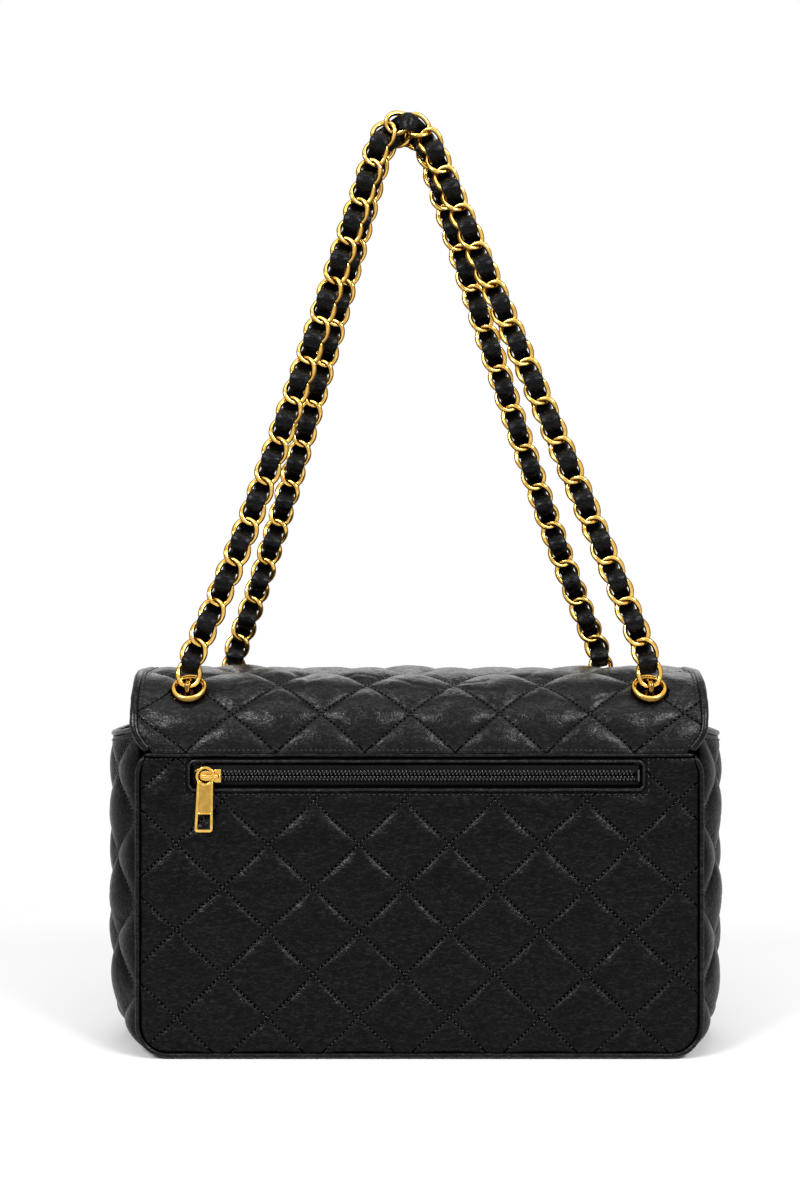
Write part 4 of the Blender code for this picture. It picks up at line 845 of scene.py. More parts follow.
def hook_link():
    """The plain narrow link that holds a strap's last link in the eyelet."""
    turn = full_turn(WIRE_STEPS)
    curve = softened(np.column_stack([np.cos(turn), np.sin(turn)]), 0.75)
    return np.column_stack([curve * [LINK_HALF_LENGTH, HOOK_HALF_WIDTH], np.zeros_like(turn)])


def wire_round(lines):
    """Round wire along closed lines, as points by line, step and side: at each step the
    section lies square to the run, turned from the line's own middle outwards."""
    ahead, behind = np.roll(lines, -1, axis=1), np.roll(lines, 1, axis=1)
    run = unit(ahead - behind)
    out = lines - lines.mean(axis=1, keepdims=True)
    out = unit(out - (out * run).sum(axis=-1, keepdims=True) * run)
    side = np.cross(run, out)
    turn = full_turn(WIRE_SIDES)
    ring = out[:, :, None] * np.cos(turn)[:, None] + side[:, :, None] * np.sin(turn)[:, None]
    return lines[:, :, None] + WIRE_RADIUS * ring


def chain_frames(points, broad):
    """Each link's middle, and the three ways of its own frame: along the run, across in
    the broad way given, and square to both."""
    run = unit(np.diff(points, axis=0))
    across = unit(broad - (broad * run).sum(axis=1, keepdims=True) * run)
    return (points[:-1] + points[1:]) / 2, run, across, np.cross(run, across)


def linked_chain(name, shapes, frames, body, replaced, roll=0.0):
    """Closed wire links set in their frames, each rolled a little about the run."""
    middle, run, across, square = frames
    tilt = np.random.default_rng(61).uniform(-1, 1, len(middle)) * roll
    leaned = across * np.cos(tilt)[:, None] + square * np.sin(tilt)[:, None]
    upright = square * np.cos(tilt)[:, None] - across * np.sin(tilt)[:, None]
    axes = np.stack([run, leaned, upright], axis=1)
    lines = middle[:, None] + np.einsum("nsk,nkd->nsd", np.stack(shapes), axes)
    points = wire_round(lines)
    # Painted light and shade: the marks hold how squarely each point of the wire faces along the link's
    # upright way, and the wire gold is painted bright there and dark brown at the sides.
    crest = np.abs(np.einsum("nstd,nd->nst", points - lines[:, :, None], upright)) / WIRE_RADIUS
    each = cells(WIRE_STEPS, WIRE_SIDES, around=True, looped=True)
    faces = copies(each, WIRE_STEPS * WIRE_SIDES, len(middle))
    made = solid_from(name, points, faces, (crest, 0 * crest))
    dress(made, wire_gold, body, "gold_metal", *replaced)


def polished_gold(name, rough=0.11, brushed=0.0, depth=1.0, painted_crest_shade=False):
    """Gold plate, polished, with faint waves, fine rub marks and a tone that wanders;
    depth darkens its colour all over, a painted shade. With crest shading, it is painted
    bright on the crests, where the first number of the marks is 1, and painted dark brown
    towards 0, a painted shade at the sides."""
    plate = Recipe(bpy.data.materials.new(name))
    at = plate.place()
    wave, fine = plate.noise(at, 420.0), plate.noise(at, 2600.0, 3.0)
    stretched = plate.add("Mapping", {"Vector": at, "Scale": (220.0, 220.0, 9000.0)})
    rub = plate.noise(stretched.outputs[0], 1.0)
    deep, bright = (depth * np.array(colour) for colour in ((0.70, 0.40, 0.075), (0.88, 0.56, 0.14)))
    tint = plate.ramp(wave, 0.3, deep, 0.7, bright)
    wear = plate.spread(fine, 0.35, 0.75, rough * 0.8, rough * 1.6)
    lines = plate.bump(0.04 + brushed, 0.00004, rub, plate.bump(0.25, 0.00008, wave))
    if painted_crest_shade:
        # Painted light and shade: the colour is painted brighter on the crests and dark brown towards
        # the sides of the wire.
        shade = plate.spread(plate.marks()["X"], 0.55, 0.99, 0.26, 1.14)
        tint = plate.add("HueSaturation", {"Value": shade, "Color": tint}).outputs[0]
    plate.set(base_color=tint, roughness=wear, normal=lines)
    plate.set(metallic=1.0, specular_tint=(0.50, 0.27, 0.08, 1))
    return plate.holder


gold = polished_gold("polished_gold")
wire_gold = polished_gold("wire_gold", painted_crest_shade=True)
ends_x = np.array([1.0, 0.0, 0.0])
strap_runs = {}
for label, strap in STRAPS.items():
    facing = strap["facing"]
    square = np.array([0, facing * math.cos(EYELET_ANGLE), math.sin(EYELET_ANGLE)])
    centre = np.array([0, back_round if facing < 0 else front_round, round_z])
    strap.update(square=square, centre=centre)
    foot = centre + (FLAP_ROUND + AXIS_LIFT) * square
    apex = np.array([0, facing * STRAP_HALF_GAP, strap["apex"]])
    rise_way = unit(apex - foot)
    plane = np.stack([ends_x, rise_way])
    height = np.linalg.norm(apex - foot)
    flat_points = strap_bearings(strap["spacing"], height, strap["left"], strap["right"])
    flat_run = unit(np.diff(flat_points, axis=0))
    broad = np.column_stack([-flat_run[:, 1], flat_run[:, 0]]) @ plane
    frames = chain_frames(foot + flat_points @ plane, broad)
    strap_runs[label] = foot, plane, flat_points
    shapes = [end_link(1), *[curb_link()] * (len(broad) - 2), end_link(-1)]
    replaced = (f"{label}_chain_left", f"{label}_chain_right")
    linked_chain(f"{label}_chain", shapes, frames, f"{label}_strap", replaced, 0.10)

for side, name in ((-1, "left"), (1, "right")):
    rear, ahead = (
        side * strap["spacing"] * ends_x + strap_runs[label][0] for label, strap in STRAPS.items()
    )
    span = ahead - rear
    way = unit(span)
    level = unit(np.cross(way, [0, 0, 1.0]))
    down = np.cross(way, level)
    down = down if down[2] < 0 else -down
    count = round(np.linalg.norm(span) * INNER_SLACK / LINK_PITCH)
    shares = np.linspace(0, 1, 200)[:, None]
    back_off = LINK_PITCH / 2 - LINK_HALF_LENGTH + 2 * WIRE_RADIUS + 0.0003
    low, high = 0.0, float(np.linalg.norm(span))
    for _ in range(40):
        sag = (low + high) / 2
        line = rear + span * shares + 4 * sag * shares * (1 - shares) * down
        ways = unit(np.stack([line[0] - line[1], line[-1] - line[-2]]))
        line = np.vstack([line[0] + back_off * ways[0], line, line[-1] + back_off * ways[1]])
        low, high = (low, sag) if run_lengths(line)[-1] > count * LINK_PITCH else (sag, high)
    broad = np.tile(level, (count, 1))
    broad[0] = broad[-1] = down
    shapes = [hook_link(), *[curb_link()] * (count - 2), hook_link()]
    frames = chain_frames(bearings(line, count), broad)
    label = f"inner_chain_{name}"
    linked_chain(f"{label}_links", shapes, frames, "flap_crown", (label,))

# The ribbons: a strip of soft black leather folded on itself with its edges turned in,
# woven through each strap's links, over two wires and under two, and puffed between them.
RIBBON_WAVE = 0.0040
RIBBON_HALF_THICKNESS = 0.00085
RIBBON_HALF_WIDTH, RIBBON_SPREAD = 0.0037, 0.00130
RIBBON_SIDES = 18
RIBBON_STEPS = 14


def woven_ribbon(label):
    """A ribbon as points by step and side: its height is a flattened sine that is zero in
    each link's middle, and its section is a soft lens, wide over the links and narrow
    through them."""
    foot, plane, points = strap_runs[label]
    steps_in = np.arange(0, len(points) - 2 + 1e-9, 1 / RIBBON_STEPS)
    middles = (points[:-1] + points[1:]) / 2
    number = np.arange(len(middles))
    centre = np.stack([np.interp(steps_in, number, column) for column in middles.T], axis=1)
    swing = np.sin(math.pi * steps_in)
    seed = 71 if label == "rear" else 72
    jitter = drift(steps_in, steps_in * 0, 0.9, seed)
    height = softened(swing, 0.72) * (RIBBON_WAVE + 0.00022 * jitter)
    slope = unit(np.gradient(centre, axis=0))
    across = np.column_stack([-slope[:, 1], slope[:, 0]]) @ plane
    square = np.cross(slope @ plane, across)
    ends = np.clip(np.minimum(steps_in, steps_in[-1] - steps_in) / 0.5, 0, 1)
    line = foot + centre @ plane + (height * ends)[:, None] * square
    run = unit(np.gradient(line, axis=0))
    up = unit(np.cross(run, across))
    width = RIBBON_HALF_WIDTH + RIBBON_SPREAD * np.abs(swing) ** 0.8 + 0.00012 * jitter
    thick = RIBBON_HALF_THICKNESS * (0.72 + 0.5 * np.abs(swing) ** 1.5)
    turn = full_turn(RIBBON_SIDES)
    flat, lens = softened(np.cos(turn), 0.8), softened(np.sin(turn), 0.75)
    crown = 0.00055 * (1 - flat**2) * swing[:, None]
    from_edge, run_out = np.meshgrid(flat * 3, steps_in * 9)
    pleat = 0.00016 * drift(run_out, from_edge, 1.0, seed + 5)
    rise = thick[:, None] * lens + crown + pleat
    breadth = across[:, None] * (width[:, None] * flat)[..., None]
    return line[:, None] + breadth + up[:, None] * rise[..., None]


ribbon_leather = soft_leather("ribbon_leather", shine=0.32, grain=0.7, wrinkle=1.2)
for label, strap in STRAPS.items():
    points = woven_ribbon(label)
    made = solid_from(f"{label}_ribbon", points, tube(len(points), RIBBON_SIDES))
    halves = f"{label}_ribbon_left", f"{label}_ribbon_right"
    dress(made, ribbon_leather, f"{label}_strap", "strap_leather", *halves)

# The eyelets: rolled rings of gold-plated brass, pressed through the flap from outside
# and closed on a washer inside. The washers come with the lock's pieces, at the end.
EYELET_STEPS = 64
EYELET_PROFILE = np.array(
    [(0.0091, -0.0006), (0.0091, 0.0006), (0.00885, 0.0016), (0.0083, 0.0023), (0.0076, 0.0026)]
    + [(0.0069, 0.0023), (0.0063, 0.0016), (0.0061, 0.0004), (0.0062, -0.0060)]
    + [(0.0068, -0.0060), (0.0068, -0.0006)]
)


def ring_turned(profile, centre, square):
    """A ring: a closed profile of radius and height turned about the way given."""
    turn = full_turn(EYELET_STEPS)[:, None, None]
    spoke = np.cos(turn) * ends_x + np.sin(turn) * np.cross(square, ends_x)
    return centre + spoke * profile[None, :, 0, None] + square * profile[None, :, 1, None]


for label, strap in STRAPS.items():
    square = strap["square"]
    for side, name in ((-1, "left"), (1, "right")):
        centre = strap["centre"] + side * strap["spacing"] * ends_x + FLAP_ROUND * square
        points = ring_turned(EYELET_PROFILE, centre, square)
        faces = cells(EYELET_STEPS, len(EYELET_PROFILE), around=True, looped=True)
        height = EYELET_PROFILE[:, 1]
        # Painted light and shade: the ring's gold is painted bright at the top of its roll and dark
        # brown towards its flange and barrel.
        crest = np.tile(np.clip(height / height.max(), 0, 1), (EYELET_STEPS, 1))
        node = f"{label}_eyelet_{name}"
        ring = solid_from(f"{node}_ring", points, faces[:, ::-1], (crest, 0 * crest))
        dress(ring, wire_gold, "flap_crown", "gold_metal", node)

# The front panel: quilted as the back is, with the lock's plate on it, and hidden by the
# flap when the bag is closed. A binding rolls over its top edge.
FRONT_QUILT = ((0, QUILT_MIDDLE), QUILT_WIDTH, QUILT_HEIGHT, 83)
FRONT_GRID = 0.0016
FRONT_WALL = 0.0018
FRONT_SEAT = 0.0012
front_box_low, front_box_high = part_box("front_panel")
lock_low, lock_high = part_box("lock_base_plate")
lock_mid, lock_half = (lock_low.z + lock_high.z) / 2, (lock_high.z - lock_low.z) / 2


def front_shape(across, along):
    """The flat front, drawn from right to left so that it faces outwards."""
    return xyz(-across, front_box_high.y - FRONT_SEAT, along)


def front_relief(across, along):
    """Diamond pillows held down by the panel's edges and pressed flat under the lock."""
    share, pucker = diamonds(across, along, FRONT_QUILT)
    edge = panel_edge(across, along, front_box_low, front_box_high)
    beside = np.maximum(np.abs(across) - lock_high.x, np.abs(along - lock_mid) - lock_half)
    hold = pillow(np.maximum(edge, 0)) * (0.2 + 0.8 * pillow(np.maximum(beside, 0)))
    swell = 0.10 * drift(across, along, 0.035, 87)
    return padding(share, 0.9 + swell, 0.45, hold, 0.0006) + 0.00014 * pucker * hold


stops = (front_box_high.z,)
grid = footed_grid(PANEL_HALF_WIDTH, front_box_low.z, stops, PANEL_CORNER, 14, FRONT_GRID)[:2]
front = leather_skin("front_quilting", front_shape, front_relief, *grid, FRONT_WALL, quilt=FRONT_QUILT)
dress(front, body_leather, "bag", "black_leather", "front_panel")


def in_front(across, along, half):
    """Whether a place is on the front, clear of its edges and of the lock."""
    on = panel_edge(across, along, front_box_low, front_box_high) > half
    return on & ((np.abs(across) > lock_high.x) | (np.abs(along - lock_mid) > lock_half))


low, high = (-PANEL_HALF_WIDTH, front_box_low.z), (PANEL_HALF_WIDTH, front_box_high.z)
front_rows = quilt_rows(front_shape, front_relief, FRONT_QUILT, low, high, in_front, 0.0016)
sew("front_stitches", front_rows, "bag")

# The gussets: quilted sides that bulge outwards, bent round at the foot and sewn to the
# base. Each has a rolled binding along its top edge, which dips in the middle.
GUSSET_CORNER = 0.0155
GUSSET_SETTLE = 0.014
GUSSET_SIDE = 0.14255
GUSSET_HALF_DEPTH = 0.0472
GUSSET_END_HEIGHT = 0.1636
GUSSET_MIDDLE_HEIGHT = 0.1580
GUSSET_WALL = 0.0020
GUSSET_GRID = 0.0009
GUSSET_ROWS = 190
GUSSET_START = 0.0003
RIM_SEAM = 0.0022
GUSSET_SINK = 0.0010
BINDING_RADIUS = 0.0015
BULGES = {"left": 0.0206, "right": 0.0172}
corner_run = GUSSET_CORNER * math.pi / 2


def gusset_shape(side, bulge):
    """A gusset's face: an arc at the foot, then an upright wall, pushed outwards by a
    bulge that is fullest at mid depth and sets in above the base seam."""

    def shape(across, along):
        share = side * across / GUSSET_HALF_DEPTH
        push = bulge * (1 - share**2) * (1 - np.exp(-along / GUSSET_SETTLE))
        turn = np.clip(along / GUSSET_CORNER, 0, math.pi / 2)
        x = GUSSET_SIDE - GUSSET_CORNER + (GUSSET_CORNER + push - GUSSET_SINK) * np.sin(turn)
        z = GUSSET_CORNER * (1 - np.cos(turn)) + np.maximum(along - corner_run, 0)
        return xyz(side * x, side * across, z)

    return shape


def gusset_top(across):
    """The run up the gusset to its top edge, which dips between the panels."""
    dip = (GUSSET_MIDDLE_HEIGHT - GUSSET_END_HEIGHT) * (across / GUSSET_HALF_DEPTH) ** 2
    return GUSSET_MIDDLE_HEIGHT - dip - GUSSET_CORNER + corner_run


def gusset_relief(quilt):
    """Diamond pillows, sewn down along the piping, the base seam and the binding."""

    def relief(across, along):
        share, pucker = diamonds(across, along, quilt)
        edge = np.minimum(GUSSET_HALF_DEPTH - np.abs(across), gusset_top(across) - along)
        hold = pillow(np.maximum(np.minimum(edge, along - 0.0005), 0))
        swell = 0.16 * drift(across, along, 0.024, quilt[3] + 3)
        wrinkled = 0.00018 * pucker - 0.00014 * creases(across, along, 0.018, quilt[3] + 5)
        return padding(share, 0.95 + swell, 0.42, hold, 0.0005, PILLOW_RISE * 1.1) + wrinkled * hold

    return relief


def in_gusset(across, along, half):
    """Whether a place is on the gusset, clear of its edges."""
    on = (np.abs(across) < GUSSET_HALF_DEPTH - half) & (along > half)
    return on & (along < gusset_top(across) - half)


def round_cord(name, line, radius, material, node, slot="black_leather", sides=12, wander=0.00006):
    """A round cord of the bag along an open line of points, with a wandering surface and
    domed ends."""
    run = unit(np.gradient(line, axis=0))
    guide = np.where(np.abs(run[:, 2:]) > 0.9, [[0.0, 1.0, 0.0]], [[0.0, 0.0, 1.0]])
    side = unit(np.cross(run, guide))
    up = np.cross(side, run)
    for n in range(1, len(line)):
        side[n] = unit(side[n - 1] - (side[n - 1] @ run[n]) * run[n])
        up[n] = np.cross(side[n], run[n])
    turn = full_turn(sides)
    turned, run_out = np.meshgrid(turn * 0.0013, run_lengths(line))
    rough = wander * drift(run_out, turned, 0.0022, 91)
    girth = radius * np.ones(len(line))
    girth[[0, -1]] *= 0.35
    ring = np.cos(turn)[None, :, None] * side[:, None] + np.sin(turn)[None, :, None] * up[:, None]
    points = line[:, None] + ring * (girth[:, None] + rough)[..., None]
    made = solid_from(name, points, tube(len(line), sides)[:, ::-1])
    dress(made, material, "bag", slot, node)


for number, (name, side) in enumerate((("left", -1), ("right", 1))):
    quilt = ((0, QUILT_MIDDLE), QUILT_WIDTH, QUILT_HEIGHT, 110 + 20 * number)
    shape, relief = gusset_shape(side, BULGES[name]), gusset_relief(quilt)
    node = f"gusset_{name}"
    columns = steps(-GUSSET_HALF_DEPTH, GUSSET_HALF_DEPTH, pitch=GUSSET_GRID)
    across, share = np.meshgrid(columns, np.linspace(0, 1, GUSSET_ROWS))
    along = GUSSET_START + (gusset_top(across) - GUSSET_START) * share
    gusset = leather_skin(f"{node}_quilting", shape, relief, across, along, GUSSET_WALL, quilt=quilt)
    dress(gusset, side_leather, "bag", "black_leather", node)
    low, high = (-GUSSET_HALF_DEPTH, 0), (GUSSET_HALF_DEPTH, 0.17)
    rows = quilt_rows(shape, relief, quilt, low, high, in_gusset, 0.0012)
    rim_across = np.linspace(-GUSSET_HALF_DEPTH + 0.001, GUSSET_HALF_DEPTH - 0.001, 60)
    rim_stitch = np.column_stack([rim_across, gusset_top(rim_across) - RIM_SEAM])
    sew(f"{node}_stitches", [*rows, stitch_row(shape, relief, rim_stitch)], "bag")
    rim_across = np.linspace(-GUSSET_HALF_DEPTH + 0.0016, GUSSET_HALF_DEPTH - 0.0016, 60)
    rim_along = gusset_top(rim_across)
    line = shape(rim_across, rim_along)
    line = line - outward(shape, rim_across, rim_along) * (GUSSET_WALL / 2)
    line[:, 2] += BINDING_RADIUS * 0.9
    node = f"rim_binding_{name}"
    round_cord(f"{node}_roll", line, BINDING_RADIUS, trim_leather, node, wander=0.00012)

# The piping: leather cord sewn into the seams round the back and front panels, and along
# the seam where the flap joins the back. A binding closes the front panel's top edge.
PIPING_PITCH = 0.0022
PIPING_CURL = 0.0034
PIPING_CURL_RUN = 0.010
for name in ("back", "front"):
    low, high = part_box(f"{name}_piping")
    radius = (high.y - low.y) / 2
    middle = (low.y + high.y) / 2
    half = high.x - radius
    turns = np.linspace(0, math.pi / 2, 24)
    centre_x, centre_z = half - GUSSET_CORNER, low.z + radius + GUSSET_CORNER
    bend_x = centre_x + GUSSET_CORNER * np.cos(turns)
    bend_z = centre_z - GUSSET_CORNER * np.sin(turns)
    top = high.z if name == "front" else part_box("seam_piping")[0].z
    side_z = np.arange(top, centre_z + 0.001, -PIPING_PITCH)
    right = np.column_stack([np.r_[np.full(len(side_z), half), bend_x], np.r_[side_z, bend_z]])
    foot_x = np.arange(centre_x - 0.002, -centre_x + 0.001, -PIPING_PITCH)
    foot = np.column_stack([foot_x, np.full(len(foot_x), low.z + radius)])
    if name == "back":
        curled = np.clip((right[:, 1] - top) / PIPING_CURL_RUN + 1, 0, 1)
        right[:, 0] -= PIPING_CURL * curled**2
    ring = np.vstack([right, foot, right[::-1] * [-1, 1]])
    line = xyz(ring[:, 0], middle, ring[:, 1])
    round_cord(f"{name}_piping_cord", line, radius, trim_leather, f"{name}_piping")

for node, label in (("seam_piping", "seam_cord"), ("front_rim_binding", "front_rim_roll")):
    low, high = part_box(node)
    run = np.linspace(low.x + 0.0006, high.x - 0.0006, 160)
    middle_y, middle_z = (low.y + high.y) / 2, (low.z + high.z) / 2
    line = xyz(run, middle_y, middle_z)
    line[:, 2] += 0.0002 * drift(run, run * 0, 0.02, 97)
    round_cord(label, line, (high.z - low.z) / 2, trim_leather, node)

# The zip pocket's frame: the cut in the panel is bound with a strip of leather, rolled over
# the edge, turned in round the opening and stitched down to the panel.
FRAME_LIP = 0.0010
FRAME_CORNER = 0.0025
LIP_PROFILE = np.array(
    [(0.0026, -0.0013), (0.0024, -0.0004), (0.0020, 0.0001), (0.0015, 0.0006), (0.0011, 0.0012)]
    + [(0.0007, 0.0015), (0.0002, 0.0015), (-0.0001, 0.0012), (-0.0003, 0.0006)]
    + [(-0.0003, -0.0004), (0.0000, -0.0018), (0.0009, -0.0018), (0.0012, -0.0013)]
)


def rounded_loop(middle, half, corner, pitch):
    """A rounded rectangle in X and Z as points and outward ways: a quarter turn at each
    corner, with straight stretches in equal steps between them."""
    places, ways = [], []
    turn = np.linspace(0, math.pi / 2, 9)
    for number, signs in enumerate(((1, 1), (-1, 1), (-1, -1), (1, -1))):
        angle = turn + number * math.pi / 2
        way = np.column_stack([np.cos(angle), np.sin(angle)])
        places.append(np.array(middle) + np.array(signs) * (np.array(half) - corner) + corner * way)
        ways.append(way)
    line, outwards = [], []
    for place, way, after in zip(places, ways, [*places[1:], places[0]]):
        gap = after[0] - place[-1]
        stretch = np.linspace(0, 1, max(int(np.linalg.norm(gap) / pitch), 1), endpoint=False)[1:]
        line += [place, place[-1] + gap * stretch[:, None]]
        outwards += [way, np.repeat(way[-1:], len(stretch), axis=0)]
    return np.vstack(line), np.vstack(outwards)


zip_x, zip_z = (frame_low.x + frame_high.x) / 2, (frame_low.z + frame_high.z) / 2
opening = (frame_high.x - zip_x - FRAME_LIP, frame_high.z - zip_z - FRAME_LIP)
line, ways = rounded_loop((zip_x, zip_z), opening, FRAME_CORNER, 0.0012)
around = run_lengths(line)
roll = 1 + 0.10 * drift(around, around * 0, 0.014, 131)
roll += 0.05 * drift(around, around * 0, 0.004, 132)
sway = 0.00014 * drift(around, around * 0, 0.018, 133)
outset = LIP_PROFILE[None, :, 0] + sway[:, None]
height = LIP_PROFILE[None, :, 1] * np.where(LIP_PROFILE[:, 1] > 0, roll[:, None], 1)
out_x, out_z = (line[:, None, n] + ways[:, None, n] * outset for n in (0, 1))
points = xyz(out_x, PANEL_FACE - height, out_z)
faces = cells(len(line), len(LIP_PROFILE), around=True, looped=True)
lip = solid_from("zip_frame_lip", points, faces[:, ::-1])
lip_leather = soft_leather("lip_leather", shine=0.26, gloss=0.3, grain=0.5, wrinkle=0.6)
dress(lip, lip_leather, "bag", "black_leather", "zip_frame")

# The zip: two ribbed black tapes sewn behind the frame, each with a coil of black nylon
# whose turns lock between the other's, and a stop crimped over them at both ends.
TAPE_RIB = 0.00075
TAPE_WALL = 0.0005
COIL_PITCH = 0.0019
COIL_WIRE = 0.00052
COIL_HALF_DEPTH = 0.00046
COIL_TURN_STEPS = 14
COIL_SKEW = 0.20
COIL_HEAD_GAP = 0.00058
COIL_ROOT_INSET = 0.00070


def woven_cloth(name, dark, light, thread_size, shine):
    """Plain woven cloth: crossing threads in relief, with tones that wander between them."""
    cloth = Recipe(bpy.data.materials.new(name))
    at = cloth.place()
    threads = {"Vector": at, "Scale": 0.314 / thread_size, "Distortion": 0.6, "Detail": 1.0}
    weave = [cloth.add("TexWave", threads, bands_direction=way).outputs["Fac"] for way in "XYZ"]
    woven = cloth.sum(cloth.sum(weave[0], weave[1], "MAXIMUM"), weave[2], "MAXIMUM")
    cloudy = cloth.times(woven, cloth.noise(at, 60.0, 3.0))
    tint = cloth.ramp(cloudy, 0.1, dark, 0.8, light)
    cloth.set(base_color=tint, normal=cloth.bump(0.6, 0.00012, woven), roughness=shine)
    cloth.set(specular_ior_level=0.06)
    return cloth.holder


def black_nylon():
    """Moulded black nylon, smooth and a little glossy."""
    moulded = Recipe(bpy.data.materials.new("black_nylon"))
    speck = moulded.noise(moulded.place(), 900.0)
    tint = moulded.ramp(speck, 0.0, (0.003, 0.003, 0.003), 1.0, (0.012, 0.012, 0.012))
    worn = moulded.spread(speck, 0.3, 0.7, 0.14, 0.2)
    moulded.set(base_color=tint, roughness=worn, specular_ior_level=0.9)
    return moulded.holder


tape_cloth = woven_cloth("tape_weave", (0.004, 0.004, 0.004), (0.014, 0.014, 0.015), 0.00035, 0.75)
nylon = black_nylon()
for name, inner in (("lower", 1), ("upper", -1)):
    low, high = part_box(f"zip_tape_{name}")

    def tape_shape(across, along, face=low.y):
        """The tape's flat face."""
        return xyz(across, face, along)

    def tape_relief(across, _):
        """Upright ribs, a sine of the place across."""
        return 0.00008 * np.sin(2 * math.pi * across / TAPE_RIB)

    columns = np.arange(low.x, high.x, TAPE_RIB / 5)
    across, along = np.meshgrid(columns, np.linspace(low.z, high.z, 6))
    tape = leather_skin(f"zip_tape_{name}_weave", tape_shape, tape_relief, across, along, TAPE_WALL)
    dress(tape, tape_cloth, "bag", "zip_tape", f"zip_tape_{name}")

    node = f"zip_coil_{name}"
    low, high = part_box(node)
    outer = low.z if inner > 0 else high.z
    head = zip_z - inner * COIL_HEAD_GAP
    root = outer + inner * COIL_ROOT_INSET
    count = int((high.x - low.x) / COIL_PITCH)
    turn = np.arange(count * COIL_TURN_STEPS + 1) * 2 * math.pi / COIL_TURN_STEPS
    share = (1 - np.cos(turn)) / 2
    start = low.x + COIL_WIRE + (0.3 * COIL_PITCH if inner > 0 else 0)
    run = start + COIL_PITCH * (turn / (2 * math.pi) - COIL_SKEW * share)
    depth = (low.y + high.y) / 2 - COIL_HALF_DEPTH * np.sin(turn)
    line = xyz(run, depth, root + (head - root) * share)
    bead = COIL_WIRE * (0.28 + 0.72 * np.cos(turn) ** 4)
    kept = line[:, 0] < high.x
    round_cord(f"{node}_turns", line[kept], bead[kept], nylon, node, "zip_coil", 6, 0)


def eased(node, ease, material, body):
    """A copy of a CAD piece, merged, with its edges rounded over by ease."""
    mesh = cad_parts[node].data.copy()
    shape = bmesh.new()
    shape.from_mesh(mesh)
    bmesh.ops.remove_doubles(shape, verts=shape.verts, dist=1e-6)
    bmesh.ops.dissolve_limit(shape, angle_limit=0.01, verts=shape.verts, edges=shape.edges)
    for face in shape.faces:
        face.smooth = True
    shape.to_mesh(mesh)
    shape.free()
    mesh.materials.clear()
    made = bpy.data.objects.new(f"{node}_eased", mesh)
    scene.collection.objects.link(made)
    rounding(made, ease)
    dress(made, material, body, "gold_metal", node)


def rounding(made, ease, segments=2):
    """Rounds the sharp edges of a piece over by ease."""
    bevel = made.modifiers.new("eased_edges", "BEVEL")
    bevel.width = ease
    bevel.segments = segments
    bevel.limit_method = "ANGLE"
    bevel.angle_limit = math.radians(35)
    bevel.harden_normals = True


eased("zip_stop_right", 0.0002, nylon, "bag")

# The slider: two gold-plated plates joined by a neck, with a bridge on the front one that
# holds the pull's round eye. The pull is a cast frame with a brushed recess and a window.
BAR_SIDES = 12
SLIDER_PLATE = 0.0011
SLIDER_REAR = (-0.0477, -0.0466)
SLIDER_CLEAR = 0.0003
BRIDGE_LEFT, BRIDGE_RIGHT = -0.1092, -0.1003
BRIDGE_HALF_WIDTH = 0.00095
BRIDGE_SINK, BRIDGE_RISE = 0.0005, 0.00055
BRIDGE_HALF_DEPTH = 0.00055
KNOB_RISE, KNOB_RADIUS, KNOB_WIRE = 0.0003, 0.0005, 0.0006
NECK_LEFT, NECK_RIGHT, NECK_DEPTH = 0.0012, 0.0042, -0.0492
NECK_HALF_WIDTH, NECK_HALF_DEPTH = 0.0003, 0.0023
EYE_RADIUS = 0.0042
PULL_TOP_HALF, PULL_FLARE = 0.0033, 0.00055
PULL_BEND = 0.0009
CROSS_BAR_Z, CROSS_BAR_HALF, CROSS_BAR_WIRE = 0.1231, 0.0034, 0.00042
RECESS_FOOT, RECESS_HALF_FOOT, RECESS_HALF_TOP = 0.1229, 0.0036, 0.0034
PULL_WIRE = 0.00066
PULL_DEPTH = 0.0005
PULL_TILT = 0.0009
PULL_SIDE = 0.00072


def swept_bar(line, level, half_level, half_cross, closed=False):
    """A bar with a soft rectangular section along a line: each ring's axes are the level way
    and the cross product of the run and it, and the ends of an open bar are domed."""
    level = np.broadcast_to(np.array(level, float), line.shape)
    if closed:
        run = unit(np.roll(line, -1, axis=0) - np.roll(line, 1, axis=0))
    else:
        run = unit(np.gradient(line, axis=0))
    cross = unit(np.cross(run, level))
    turn = full_turn(BAR_SIDES)
    wide, deep = softened(np.cos(turn), 0.7) * half_cross, softened(np.sin(turn), 0.7) * half_level
    girth = np.ones(len(line))
    if not closed:
        tip = half_cross * 0.5
        line = np.vstack([line[0] - run[0] * tip, line, line[-1] + run[-1] * tip])
        cross, level = (np.vstack([way[0], way, way[-1]]) for way in (cross, level))
        girth = np.r_[0.5, girth, 0.5]
    ring = wide[None, :, None] * cross[:, None] + deep[None, :, None] * level[:, None]
    points = line[:, None] + ring * girth[:, None, None]
    count = len(line)
    faces = cells(count, BAR_SIDES, around=True, looped=True) if closed else tube(count, BAR_SIDES)
    return points.reshape(-1, 3), faces[:, ::-1]


def joined(name, parts, body, node):
    """One gold piece from several closed shapes."""
    shift, faces = 0, []
    for points, part in parts:
        faces.append(part + shift)
        shift += len(points)
    made = solid_from(name, np.vstack([points for points, _ in parts]), np.vstack(faces))
    dress(made, gold, body, "gold_metal", node)


